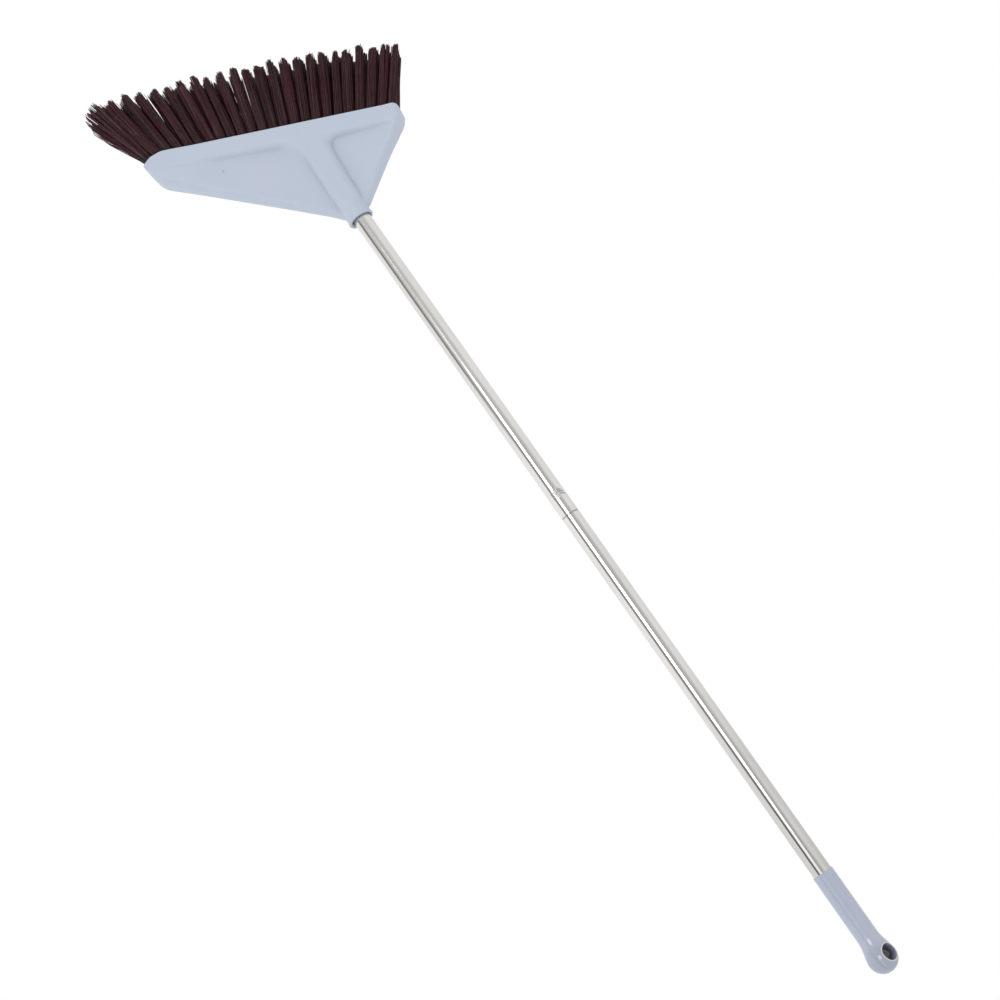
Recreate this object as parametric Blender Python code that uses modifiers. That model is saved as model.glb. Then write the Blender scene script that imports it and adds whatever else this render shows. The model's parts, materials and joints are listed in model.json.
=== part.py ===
"""Floor broom: an angled moulded head with a tufted block, a two-part steel handle and a hanging grip.

Metres, +Z up. The handle's axis is the Z axis, and the origin is the centre of the hanging hole,
because the broom hangs from it with everything else below. The head's face looks along -Y and
its long side points along +X. Both screw joints unscrew about -Z and travel along -Z.
"""

import math

import bmesh
import bpy
from mathutils import Matrix, Vector

MM = 0.001

# Clearances and overruns
SEAT_GAP = 0.3 * MM
SEAM_GAP = 0.25 * MM
THREAD_GAP = 0.4 * MM
OVERRUN = 6 * MM
SINK = 0.6 * MM
MERGE = 0.005 * MM

# Facets of round pieces
ROUND_SEGMENTS = 32
THREAD_SEGMENTS = 16
CORNER_STEPS = 5

# Grip
BULB_RADIUS = 14.6 * MM
GRIP_WALL = 1 * MM
GRIP_LENGTH = 94.5 * MM
GRIP_EDGE = 0.35 * MM
FLARE_LENGTH = 16 * MM
BULB_NECK_SHARE = 0.42
FLARE_STEPS = 6
BULB_STEPS = 9
HANG_HOLE_RADIUS = 7.6 * MM
HANG_HOLE_TURN = math.radians(-40)
TUBE_IN_GRIP = 29 * MM

# Tubes
TUBE_RADIUS = 9.5 * MM
TUBE_WALL = 0.6 * MM
TUBE_LENGTH = 440 * MM
TUBE_IN_SOCKET = 52.3 * MM

# Screw joint between the two tubes
SEAM_RING_HEIGHT = 0.8 * MM
SEAM_RING_WALL = 1.9 * MM
PLUG_LENGTH = 30 * MM
NUT_LENGTH = 34 * MM
JOINT_PITCH = 4 * MM
JOINT_TURNS = 5
NUT_WALL = 1.3 * MM
JOINT_RIDGE_HEIGHT = 1.1 * MM
JOINT_RIDGE_WIDTH = 1.7 * MM

# Screw joint between the handle and the head
FLANGE_HEIGHT = 1.5 * MM
WASHER_HEIGHT = 1.5 * MM
SOCKET_PITCH = 5.08 * MM
SOCKET_TURNS = 4
FERRULE_STEP = 1.3 * MM
SOCKET_RIDGE_HEIGHT = 1.3 * MM
SOCKET_RIDGE_WIDTH = 2.2 * MM
RIDGE_TIP_SHARE = 0.55
THREAD_LEAD = 1.4 * MM
THREAD_TURN = math.radians(4)

# Head: heights are measured from the mouth line, and lengths along it from the handle's axis
HEAD_DROP = 123.7 * MM
MOUTH_SLOPE = math.radians(25.8)
SHORT_SIDE = 112.5 * MM
SHORT_RISE = 14.5 * MM
SHORT_NECK_DROP = 7.7 * MM
SHORT_SIDE_RADIUS = 28 * MM
LONG_SIDE = 175 * MM
TOE_BACK = 19 * MM
TOE_RISE = 6.5 * MM
TOE_RADIUS = 14 * MM
TIP_RADIUS = 3 * MM
NOSE_BACK = 14.7 * MM
NOSE_RISE = 32.9 * MM
NOSE_RADIUS = 24 * MM
LONG_NECK_OUT = 13 * MM
LONG_NECK_DROP = 21.8 * MM
LONG_NECK_RADIUS = 30 * MM
NECK_LAP = 9 * MM
WEB_FOOT_THICKNESS = 21 * MM
WEB_TAPER_SHARE = 0.06
WEB_EDGE = 5.5 * MM
BAR_THICKNESS = 30 * MM
BAR_TAPER_SHARE = 0.14
BAR_DEPTH = 20 * MM
BAR_EDGE = 6.5 * MM
BAR_LIP = 0.5 * MM
BAR_SWELL_BACK = 31 * MM
BAR_SWELL_LENGTH = 40 * MM
BAR_SWELL_RADIUS = 40 * MM
BAR_NOSE_RADIUS = 11 * MM
RIDGE_INSET = 1.4 * MM
RIDGE_RISE = 70 * MM
SHORT_FILLET = 13 * MM
LONG_FILLET = 22 * MM
RIM_EDGE_SHARE = 0.12
CLIMB_SHARE = 0.5
EDGE_STEPS = 3
SHELL_WALL = 2.4 * MM
TROUGH_DEPTH = 17.5 * MM
TROUGH_END_WALL = 4 * MM
HOLLOW_EDGE = 8 * MM
SOCKET_CLEARANCE = 1.4 * MM
STEM_WALL = 3.1 * MM
NECK_WALL = 2 * MM
RIM_WALL = 2.6 * MM
RIM_HEIGHT = 3.4 * MM
NECK_LENGTH = 7 * MM
SOCKET_FLOOR = 3.5 * MM
STEM_CORE_WALL = 4.5 * MM

# Tufted block
SLICES = 12
BLOCK_HEIGHT = 10 * MM
TUFT_COLUMNS = 2
TUFT_ROWS = 4
TUFT_ROW_STEP = 6 * MM
TUFT_SPREAD = 1.5 * MM
TIP_SPREAD = 2.3 * MM
ROW_FAN_SHARE = 1.7
STRAND_RADIUS = 1.05 * MM
STRAND_TIP_RADIUS = 0.9 * MM
STRAND_SIDES = 4
STRAND_SINK = 2.5 * MM
BRISTLE_DROP = 82 * MM
BRISTLE_CROWN = 10 * MM
BRISTLE_STAGGER = 4 * MM
MIDDLE_LEAN = 8 * MM
LONG_SPREAD = 42 * MM
LONG_FLARE = 32 * MM
LONG_LIFT = 12 * MM
FLARE_POWER = 8
SHORT_SPREAD = 17 * MM
SHORT_FLARE = 7 * MM

# Heights of the pieces on the handle's axis, from the hanging hole down
GRIP_MOUTH = -GRIP_LENGTH
UPPER_TOP = GRIP_MOUTH + TUBE_IN_GRIP
UPPER_BOTTOM = UPPER_TOP - TUBE_LENGTH
SEAM_RING_TOP = UPPER_BOTTOM - SEAM_GAP
SEAM_RING_BOTTOM = SEAM_RING_TOP - SEAM_RING_HEIGHT
LOWER_TOP = SEAM_RING_BOTTOM - SEAM_GAP
LOWER_BOTTOM = LOWER_TOP - TUBE_LENGTH
SOCKET_MOUTH = LOWER_BOTTOM + TUBE_IN_SOCKET
FLANGE_TOP = LOWER_BOTTOM - SEAT_GAP
FLANGE_BOTTOM = FLANGE_TOP - FLANGE_HEIGHT
WASHER_TOP = FLANGE_BOTTOM - SEAT_GAP
WASHER_BOTTOM = WASHER_TOP - WASHER_HEIGHT
SOCKET_SHOULDER = WASHER_BOTTOM - SEAT_GAP
MOUTH_LINE = SOCKET_MOUTH - HEAD_DROP

# Sizes that follow from the ones above
GRIP_RADIUS = TUBE_RADIUS + GRIP_WALL
TUBE_BORE = TUBE_RADIUS - TUBE_WALL
PLUG_RADIUS = TUBE_BORE - SEAT_GAP
JOINT_CREST_RADIUS = PLUG_RADIUS - NUT_WALL - THREAD_GAP
SOCKET_CREST_RADIUS = TUBE_RADIUS - FERRULE_STEP
SOCKET_RADIUS = TUBE_RADIUS + SOCKET_CLEARANCE
NECK_RADIUS = SOCKET_RADIUS + NECK_WALL
RIM_RADIUS = SOCKET_RADIUS + RIM_WALL
STEM_RADIUS = SOCKET_RADIUS + STEM_WALL
STEM_CORE_RADIUS = STEM_RADIUS - STEM_CORE_WALL
BLOCK_TOP = TROUGH_DEPTH - SEAT_GAP
BLOCK_BOTTOM = BLOCK_TOP - BLOCK_HEIGHT

PLASTIC = ("moulded_plastic", (0.53, 0.60, 0.70), 0.55, 0.0)
GRIP_PLASTIC = ("grip_plastic", (0.46, 0.53, 0.63), 0.3, 0.0)
STEEL = ("polished_steel", (0.78, 0.77, 0.75), 0.15, 1.0)
BRISTLE = ("bristle_plastic", (0.045, 0.012, 0.018), 0.45, 0.0)
INSERT = ("insert_plastic", (0.62, 0.62, 0.60), 0.5, 0.0)
RUBBER = ("washer_rubber", (0.06, 0.06, 0.06), 0.8, 0.0)


def clear_scene() -> None:
    """Removes every object, so that the script gives the same model each run."""
    for old in list(bpy.data.objects):
        bpy.data.objects.remove(old, do_unlink=True)


def make_collection(name: str) -> bpy.types.Collection:
    """Returns a new collection in the scene."""
    collection = bpy.data.collections.new(name)
    bpy.context.scene.collection.children.link(collection)
    return collection


clear_scene()
BROOM = make_collection("floor_broom")
CUTTERS = make_collection("cutters")


def make_material(spec: tuple) -> bpy.types.Material:
    """Returns the material of that name, made the first time that it is asked for."""
    name, colour, roughness, metallic = spec
    material = bpy.data.materials.get(name)
    if material is None:
        material = bpy.data.materials.new(name)
        material.use_nodes = True
        shader = material.node_tree.nodes["Principled BSDF"]
        shader.inputs["Base Color"].default_value = (*colour, 1.0)
        shader.inputs["Roughness"].default_value = roughness
        shader.inputs["Metallic"].default_value = metallic
    return material


def add_object(name: str, mesh: bpy.types.Mesh, height: float = 0.0) -> bpy.types.Object:
    """Adds a part to the broom's collection, with its origin on the handle's axis at a height."""
    made = bpy.data.objects.new(name, mesh)
    made.location.z = height
    BROOM.objects.link(made)
    return made


def make_cutter(tool: bpy.types.Object) -> bpy.types.Object:
    """Moves an object to the cutters, where it shapes others and is left out of the model."""
    for collection in list(tool.users_collection):
        collection.objects.unlink(tool)
    CUTTERS.objects.link(tool)
    tool.hide_render = True
    tool.display_type = "WIRE"
    return tool


def finish(part: bpy.types.Object, spec: tuple) -> bpy.types.Object:
    """Gives a part its material and shades its round faces smooth."""
    part.data.materials.append(make_material(spec))
    part.data.shade_smooth()
    part.data.set_sharp_from_angle(angle=math.radians(30))
    return part


def join(part: bpy.types.Object, tool: bpy.types.Object, operation: str) -> None:
    """Adds a Boolean modifier that joins a tool to a part or cuts it away."""
    modifier = part.modifiers.new(tool.name, "BOOLEAN")
    modifier.operation = operation
    modifier.solver = "EXACT"
    modifier.object = make_cutter(tool)


def turned(name: str, profile: list, closed: bool = False, height: float = 0.0) -> bpy.types.Object:
    """Returns a turned piece.

    Args:
        name: the object's name.
        profile: (radius, height) points, running down the outer side.
        closed: whether the last point joins the first, as on a ring.
        height: the height of the piece's origin on the handle's axis.
    """
    mesh = bpy.data.meshes.new(name)
    points = [(radius, 0.0, z - height) for radius, z in profile]
    edges = [(index, index + 1) for index in range(len(points) - 1)]
    if closed:
        edges.append((len(points) - 1, 0))
    mesh.from_pydata(points, edges, [])
    piece = add_object(name, mesh, height)
    screw = piece.modifiers.new("turn", "SCREW")
    screw.angle = math.tau
    screw.steps = screw.render_steps = ROUND_SEGMENTS
    screw.use_merge_vertices = True
    screw.merge_threshold = MERGE
    return piece


def ring_profile(inner: float, outer: float, top: float, bottom: float) -> list:
    """Returns the section of a plain ring or tube."""
    return [(outer, top), (outer, bottom), (inner, bottom), (inner, top)]


def thread_ridge(name: str, base: float, tip: float, start: float, pitch: float, turns: float,
                 width: float) -> bpy.types.Object:
    """Returns one helical ridge with a trapezium section.

    Args:
        name: the object's name.
        base: radius of the ridge's root, inside the piece that carries it.
        tip: radius of the ridge's crest, smaller than base on an inner thread.
        start: height of the lower end's middle.
        pitch: climb in one turn of this right-handed thread.
        turns: how many turns the ridge makes.
        width: height of the root.
    """
    root, crest = width / 2, width * RIDGE_TIP_SHARE / 2
    bm = bmesh.new()
    corners = [(base, root), (tip, crest), (tip, -crest), (base, -root)]
    verts = [bm.verts.new((radius, 0.0, start + z)) for radius, z in corners]
    loop = [bm.edges.new((verts[index], verts[(index + 1) % len(verts)])) for index in range(len(verts))]
    rounds = math.ceil(turns)
    spun = bmesh.ops.spin(
        bm, geom=verts + loop, axis=(0.0, 0.0, 1.0), cent=(0.0, 0.0, 0.0), angle=math.tau * turns,
        steps=THREAD_SEGMENTS * rounds, dvec=(0.0, 0.0, pitch * turns / (THREAD_SEGMENTS * rounds)),
    )
    last = [item for item in spun["geom_last"] if isinstance(item, bmesh.types.BMEdge)]
    bmesh.ops.contextual_create(bm, geom=loop)
    bmesh.ops.contextual_create(bm, geom=last)
    bmesh.ops.recalc_face_normals(bm, faces=bm.faces)
    mesh = bpy.data.meshes.new(name)
    bm.to_mesh(mesh)
    bm.free()
    ridge = add_object(name, mesh)
    ridge.rotation_euler.z = THREAD_TURN
    return ridge


def flare_profile() -> list:
    """Returns the grip's outline from the top of the bulb down to the sleeve's mouth."""
    neck = -BULB_RADIUS * BULB_NECK_SHARE
    neck_radius = math.sqrt(BULB_RADIUS ** 2 - neck ** 2)
    neck_angle = math.asin(neck / BULB_RADIUS)
    profile = []
    for step in range(BULB_STEPS + 1):
        angle = math.pi / 2 + (neck_angle - math.pi / 2) * step / BULB_STEPS
        profile.append((BULB_RADIUS * math.cos(angle), BULB_RADIUS * math.sin(angle)))
    slope = -neck / neck_radius * FLARE_LENGTH
    for step in range(1, FLARE_STEPS + 1):
        share = 1 - step / FLARE_STEPS
        rise = 3 * share ** 2 - 2 * share ** 3
        bend = share ** 3 - share ** 2
        radius = GRIP_RADIUS + (neck_radius - GRIP_RADIUS) * rise + slope * bend
        profile.append((radius, neck - FLARE_LENGTH * (1 - share)))
    profile.append((GRIP_RADIUS, GRIP_MOUTH + GRIP_EDGE))
    profile.append((GRIP_RADIUS - GRIP_EDGE, GRIP_MOUTH))
    return profile


def build_grip() -> None:
    """The moulded sleeve over the tube's top, with a bulb and a hanging hole turned to one side."""
    bore = TUBE_RADIUS + SEAT_GAP
    inside = [(bore, GRIP_MOUTH), (bore, UPPER_TOP + SEAT_GAP), (0.0, UPPER_TOP + SEAT_GAP)]
    grip = turned("grip", flare_profile() + inside)
    bpy.ops.mesh.primitive_cylinder_add(
        vertices=ROUND_SEGMENTS, radius=HANG_HOLE_RADIUS, depth=(BULB_RADIUS + OVERRUN) * 2,
        rotation=(math.pi / 2, 0.0, HANG_HOLE_TURN),
    )
    hole = bpy.context.object
    hole.name = "hanging_hole"
    join(grip, hole, "DIFFERENCE")
    finish(grip, GRIP_PLASTIC)


def build_tubes() -> None:
    """The two steel tubes, of one size."""
    for name, top in (("upper_tube", UPPER_TOP), ("lower_tube", LOWER_TOP)):
        tube = turned(name, ring_profile(TUBE_BORE, TUBE_RADIUS, top, top - TUBE_LENGTH), True, top)
        finish(tube, STEEL)


def build_seam_ring() -> None:
    """The thin ring that shows between the two tubes."""
    inner = TUBE_RADIUS - SEAM_RING_WALL
    profile = ring_profile(inner, TUBE_RADIUS, SEAM_RING_TOP, SEAM_RING_BOTTOM)
    finish(turned("seam_ring", profile, True, SEAM_RING_TOP), STEEL)


def joint_thread_start() -> float:
    """Returns the height where the stud's thread starts."""
    return LOWER_TOP - THREAD_LEAD - JOINT_PITCH * JOINT_TURNS


def build_joint_stud() -> None:
    """The plug in the upper tube, with the threaded stud that screws into the lower tube's nut."""
    root = JOINT_CREST_RADIUS - JOINT_RIDGE_HEIGHT
    start = joint_thread_start()
    profile = [
        (0.0, UPPER_BOTTOM + PLUG_LENGTH), (PLUG_RADIUS, UPPER_BOTTOM + PLUG_LENGTH),
        (PLUG_RADIUS, UPPER_BOTTOM), (root, UPPER_BOTTOM), (root, start - THREAD_LEAD),
        (0.0, start - THREAD_LEAD),
    ]
    stud = turned("joint_stud", profile, height=UPPER_BOTTOM)
    ridge = thread_ridge("stud_thread", root - SINK, JOINT_CREST_RADIUS, start, JOINT_PITCH,
                         JOINT_TURNS, JOINT_RIDGE_WIDTH)
    join(stud, ridge, "UNION")
    finish(stud, INSERT)


def build_joint_nut() -> None:
    """The threaded bush pressed into the top of the lower tube."""
    bore = JOINT_CREST_RADIUS + THREAD_GAP
    nut = turned("joint_nut", ring_profile(bore, PLUG_RADIUS, LOWER_TOP, LOWER_TOP - NUT_LENGTH), True,
                 LOWER_TOP)
    crest = JOINT_CREST_RADIUS - JOINT_RIDGE_HEIGHT + THREAD_GAP
    start = joint_thread_start() + JOINT_PITCH / 2
    ridge = thread_ridge("nut_thread", bore + SINK, crest, start, JOINT_PITCH, JOINT_TURNS - 1,
                         JOINT_RIDGE_WIDTH)
    join(nut, ridge, "UNION")
    finish(nut, INSERT)


def socket_thread_start() -> float:
    """Returns the height where the ferrule's thread starts."""
    return SOCKET_SHOULDER - THREAD_LEAD - SOCKET_PITCH * SOCKET_TURNS


def build_ferrule() -> None:
    """The plug in the lower tube, with a flange under the tube's end and the head's male thread."""
    root = SOCKET_CREST_RADIUS - SOCKET_RIDGE_HEIGHT
    end = socket_thread_start() - THREAD_LEAD
    plug_top = LOWER_BOTTOM + PLUG_LENGTH
    profile = [
        (0.0, plug_top), (PLUG_RADIUS, plug_top), (PLUG_RADIUS, FLANGE_TOP), (TUBE_RADIUS, FLANGE_TOP),
        (TUBE_RADIUS, FLANGE_BOTTOM), (root, FLANGE_BOTTOM), (root, end), (0.0, end),
    ]
    ferrule = turned("socket_ferrule", profile, height=FLANGE_TOP)
    ridge = thread_ridge("ferrule_thread", root - SINK, SOCKET_CREST_RADIUS, socket_thread_start(),
                         SOCKET_PITCH, SOCKET_TURNS, SOCKET_RIDGE_WIDTH)
    join(ferrule, ridge, "UNION")
    finish(ferrule, INSERT)


def build_washer() -> None:
    """The rubber washer between the ferrule's flange and the shoulder in the socket."""
    inner = SOCKET_CREST_RADIUS + THREAD_GAP
    profile = ring_profile(inner, SOCKET_RADIUS - SEAT_GAP, WASHER_TOP, WASHER_BOTTOM)
    finish(turned("socket_washer", profile, True, WASHER_TOP), RUBBER)


def head_frame() -> Matrix:
    """Returns the head's frame: X along the mouth to the long side, Z from the mouth to the neck."""
    return Matrix.Translation((0.0, 0.0, MOUTH_LINE)) @ Matrix.Rotation(MOUTH_SLOPE, 4, "Y")


def in_head(side: float, drop: float) -> tuple:
    """Returns a place beside the socket's mouth in the head's frame, as (along, rise)."""
    place = head_frame().inverted() @ Vector((side, 0.0, SOCKET_MOUTH - drop))
    return place.x, place.z


def along_at(side: float, rise: float) -> float:
    """Returns how far along the mouth an upright line beside the handle's axis has a given rise."""
    return (side - rise * math.sin(MOUTH_SLOPE)) / math.cos(MOUTH_SLOPE)


def end_corners() -> list:
    """Returns the corners that the web and the bar share at the two ends of the mouth."""
    return [
        (-SHORT_SIDE, 0.0, 0.0),
        (LONG_SIDE - TOE_BACK, 0.0, TOE_RADIUS),
        (LONG_SIDE, TOE_RISE, TIP_RADIUS),
    ]


def web_corners() -> list:
    """Returns the corners of the head's flat outline, each as (along, rise, radius)."""
    return end_corners() + [
        (LONG_SIDE - NOSE_BACK, NOSE_RISE, NOSE_RADIUS),
        (*in_head(STEM_RADIUS + LONG_NECK_OUT, LONG_NECK_DROP), LONG_NECK_RADIUS),
        (*in_head(NECK_RADIUS, RIM_HEIGHT + NECK_LENGTH / 2), 0.0),
        (*in_head(-NECK_RADIUS, SHORT_NECK_DROP), 0.0),
        (-SHORT_SIDE, SHORT_RISE, SHORT_SIDE_RADIUS),
    ]


def ridge_corners() -> list:
    """Returns the corners of the raised T: the bar along the mouth and the foot of the stem."""
    swell_end = LONG_SIDE - BAR_SWELL_BACK
    half = STEM_RADIUS - RIDGE_INSET
    return end_corners() + [
        (LONG_SIDE - NOSE_BACK, NOSE_RISE, BAR_NOSE_RADIUS),
        (swell_end, NOSE_RISE, BAR_NOSE_RADIUS),
        (swell_end - BAR_SWELL_LENGTH, BAR_DEPTH, BAR_SWELL_RADIUS),
        (along_at(half, BAR_DEPTH), BAR_DEPTH, LONG_FILLET),
        (along_at(half, RIDGE_RISE), RIDGE_RISE, 0.0),
        (along_at(-half, RIDGE_RISE), RIDGE_RISE, 0.0),
        (along_at(-half, BAR_DEPTH), BAR_DEPTH, SHORT_FILLET),
        (-SHORT_SIDE, BAR_DEPTH, NOSE_BACK),
    ]


def moved_in(corners: list, distance: float) -> list:
    """Returns an anticlockwise outline with every side moved in by a distance."""
    moved = []
    for index, (along, rise, radius) in enumerate(corners):
        before = Vector(corners[index - 1][:2])
        here = Vector((along, rise))
        after = Vector(corners[(index + 1) % len(corners)][:2])
        first, second = (here - before).normalized(), (after - here).normalized()
        inward = Vector((-first.y, first.x)) + Vector((-second.y, second.x))
        place = here + inward * distance / (1 + first.dot(second))
        moved.append((place.x, place.y, radius))
    return moved


def rounded(corners: list) -> list:
    """Returns the points of an outline whose corners are rounded to their radii."""
    points = []
    for index, (along, rise, radius) in enumerate(corners):
        here = Vector((along, rise))
        if radius == 0:
            points.append(here)
            continue
        to_before = (Vector(corners[index - 1][:2]) - here).normalized()
        to_after = (Vector(corners[(index + 1) % len(corners)][:2]) - here).normalized()
        half = to_before.angle(to_after) / 2
        middle = here + (to_before + to_after).normalized() * radius / math.sin(half)
        start = here + to_before * radius / math.tan(half) - middle
        side = to_before.x * to_after.y - to_before.y * to_after.x
        turn = math.copysign(math.pi - 2 * half, -side)
        for step in range(CORNER_STEPS + 1):
            points.append(middle + Matrix.Rotation(turn * step / CORNER_STEPS, 2) @ start)
    return points


def plate(name: str, corners: list, thickness: float, taper_share: float = 0.0) -> bpy.types.Object:
    """Returns a plate in the head's frame, cut to a rounded outline.

    Args:
        name: the object's name.
        corners: the outline's corners, each as (along, rise, radius).
        thickness: the thickness at the mouth line.
        taper_share: how much thickness goes for each metre of rise.
    """
    points = rounded(corners)
    curve = bpy.data.curves.new(name, "CURVE")
    curve.dimensions = "2D"
    curve.fill_mode = "BOTH"
    curve.extrude = thickness / 2
    spline = curve.splines.new("POLY")
    spline.points.add(len(points) - 1)
    for target, point in zip(spline.points, points):
        target.co = (point.x, point.y, 0.0, 1.0)
    spline.use_cyclic_u = True
    drawn = add_object(name + "_outline", curve)
    drawn.matrix_world = head_frame() @ Matrix.Rotation(math.pi / 2, 4, "X")
    bpy.context.view_layer.update()
    mesh = bpy.data.meshes.new_from_object(drawn.evaluated_get(bpy.context.evaluated_depsgraph_get()))
    mesh.name = name
    bm = bmesh.new()
    bm.from_mesh(mesh)
    bmesh.ops.remove_doubles(bm, verts=bm.verts, dist=MERGE)
    bmesh.ops.dissolve_limit(bm, angle_limit=math.radians(1), verts=bm.verts, edges=bm.edges)
    for vert in bm.verts:
        vert.co.z -= math.copysign(vert.co.y * taper_share / 2, vert.co.z)
    bmesh.ops.recalc_face_normals(bm, faces=bm.faces)
    bm.to_mesh(mesh)
    bm.free()
    solid = add_object(name, mesh)
    solid.matrix_world = drawn.matrix_world
    bpy.data.objects.remove(drawn)
    return solid


def round_edges(part: bpy.types.Object, width: float, mouth_share: float) -> None:
    """Rounds a plate's outline, with only a share of the width where it runs along the mouth."""
    mesh = part.data
    flats, rims = set(), set()
    for face in mesh.polygons:
        (flats if abs(face.normal.z) > 0.5 else rims).update(face.edge_keys)
    weights = mesh.attributes.new("bevel_weight_edge", "FLOAT", "EDGE")
    for edge in mesh.edges:
        if edge.key in flats & rims:
            first, second = (mesh.vertices[index].co for index in edge.vertices)
            steepness = abs(second.y - first.y) / (second - first).length
            climb = 1.0 if first.y > width else min(steepness / CLIMB_SHARE, 1.0)
            weights.data[edge.index].value = mouth_share + (1 - mouth_share) * climb
    bevel = part.modifiers.new("edges", "BEVEL")
    bevel.limit_method = "WEIGHT"
    bevel.width = width
    bevel.segments = EDGE_STEPS


def build_stem() -> bpy.types.Object:
    """Returns the round stem around the socket, with the rim at its mouth."""
    neck = SOCKET_MOUTH - RIM_HEIGHT
    profile = [
        (0.0, SOCKET_MOUTH), (RIM_RADIUS - SINK, SOCKET_MOUTH), (RIM_RADIUS, SOCKET_MOUTH - SINK),
        (RIM_RADIUS, neck + SINK), (NECK_RADIUS, neck), (NECK_RADIUS, neck - SINK),
        (STEM_RADIUS, neck - NECK_LENGTH), (STEM_RADIUS, MOUTH_LINE + BAR_DEPTH / 2),
        (0.0, MOUTH_LINE + BAR_DEPTH / 2),
    ]
    return turned("stem", profile)


def build_socket() -> bpy.types.Object:
    """Returns the socket's hollow: a plain bore for the tube and a smaller, threaded one."""
    top = SOCKET_MOUTH + OVERRUN
    wall = SOCKET_CREST_RADIUS + THREAD_GAP
    crest = wall - SOCKET_RIDGE_HEIGHT
    start = socket_thread_start()
    end = start - THREAD_LEAD * 2
    profile = [
        (0.0, top), (SOCKET_RADIUS, top), (SOCKET_RADIUS, SOCKET_SHOULDER), (wall, SOCKET_SHOULDER),
        (wall, end), (0.0, end),
    ]
    hollow = turned("socket_hollow", profile)
    thread = thread_ridge("socket_thread", wall + SINK, crest, start + SOCKET_PITCH / 2, SOCKET_PITCH,
                          SOCKET_TURNS - 1, SOCKET_RIDGE_WIDTH)
    join(hollow, thread, "DIFFERENCE")
    return hollow


def build_stem_core() -> bpy.types.Object:
    """Returns the hollow under the socket's floor, open to the trough."""
    top = socket_thread_start() - THREAD_LEAD * 2 - SOCKET_FLOOR
    profile = [(0.0, top), (STEM_CORE_RADIUS, top), (STEM_CORE_RADIUS, MOUTH_LINE), (0.0, MOUTH_LINE)]
    return turned("stem_core", profile)


def trough_corners() -> list:
    """Returns the corners of the trough that holds the tufted block, open at the mouth."""
    start = TROUGH_END_WALL - SHORT_SIDE
    slope = NOSE_BACK / (NOSE_RISE - TOE_RISE)
    end = LONG_SIDE - TROUGH_END_WALL - slope * (TROUGH_DEPTH - TOE_RISE)
    foot = end + slope * (TROUGH_DEPTH + OVERRUN)
    return [
        (start, -OVERRUN, 0.0), (foot, -OVERRUN, 0.0), (end, TROUGH_DEPTH, 0.0), (start, TROUGH_DEPTH, 0.0),
    ]


def web_hollow_corners() -> list:
    """Returns the corners of the thin hollow inside the web, which opens into the trough."""
    _, _, _, nose, long_neck, neck, short_neck, short_end = moved_in(web_corners(), HOLLOW_EDGE)
    low = TROUGH_DEPTH - SHELL_WALL
    end = trough_corners()[2][0] - SHELL_WALL
    return [
        (short_end[0] + HOLLOW_EDGE, low, 0.0), (end, low, 0.0),
        (end, min(nose[1], NOSE_RISE), 0.0), (*long_neck[:2], 0.0), (*short_neck[:2], 0.0),
        (short_end[0] + HOLLOW_EDGE, TROUGH_DEPTH + SHELL_WALL, 0.0),
    ]


def build_head_shell() -> None:
    """The moulded head: web, T ridge and stem in one piece, hollowed for the block and the socket."""
    shell = plate("head_shell", web_corners(), WEB_FOOT_THICKNESS, WEB_TAPER_SHARE)
    round_edges(shell, WEB_EDGE, 1.0)
    ridge = plate("ridge", moved_in(ridge_corners(), -BAR_LIP), BAR_THICKNESS, BAR_TAPER_SHARE)
    round_edges(ridge, BAR_EDGE, RIM_EDGE_SHARE)
    join(shell, ridge, "UNION")
    join(shell, build_stem(), "UNION")
    hollow = plate("web_hollow", web_hollow_corners(), WEB_FOOT_THICKNESS - SHELL_WALL * 2, WEB_TAPER_SHARE)
    keep = turned("stem_keep", [
        (0.0, SOCKET_MOUTH + OVERRUN), (STEM_RADIUS, SOCKET_MOUTH + OVERRUN),
        (STEM_RADIUS, MOUTH_LINE), (0.0, MOUTH_LINE),
    ])
    join(hollow, keep, "DIFFERENCE")
    join(shell, hollow, "DIFFERENCE")
    join(shell, plate("trough", trough_corners(), BAR_THICKNESS - SHELL_WALL * 2), "DIFFERENCE")
    join(shell, build_stem_core(), "DIFFERENCE")
    join(shell, build_socket(), "DIFFERENCE")
    finish(shell, PLASTIC)


def block_span() -> tuple:
    """Returns where the tufted block starts and ends along the mouth."""
    trough = trough_corners()
    return trough[0][0] + SEAT_GAP, trough[2][0] - SEAT_GAP


def fan_lean(along: float) -> float:
    """Returns how far a strand leans along the mouth by its tip, from where its root stands."""
    start, end = block_span()
    share = (along - (start + end) / 2) / ((end - start) / 2)
    if share >= 0:
        return MIDDLE_LEAN + LONG_SPREAD * share + LONG_FLARE * share ** FLARE_POWER
    return MIDDLE_LEAN + SHORT_SPREAD * share - SHORT_FLARE * share ** FLARE_POWER


def tip_drop(along: float, row: int) -> float:
    """Returns how far below the mouth line a strand ends: most in the middle, less in odd rows."""
    start, end = block_span()
    share = (along - (start + end) / 2) / ((end - start) / 2)
    lift = LONG_LIFT * max(share, 0.0) ** FLARE_POWER
    return BRISTLE_DROP - BRISTLE_CROWN * share ** 2 - lift - BRISTLE_STAGGER * (row % 2)


def add_strand(bm: bmesh.types.BMesh, root: Vector, tip: Vector) -> None:
    """Adds one straight tapered strand between two points."""
    way = tip - root
    place = Matrix.Translation((root + tip) / 2) @ way.to_track_quat("Z", "Y").to_matrix().to_4x4()
    bmesh.ops.create_cone(bm, cap_ends=True, segments=STRAND_SIDES, radius1=STRAND_RADIUS,
                          radius2=STRAND_TIP_RADIUS, depth=way.length, matrix=place)


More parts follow.
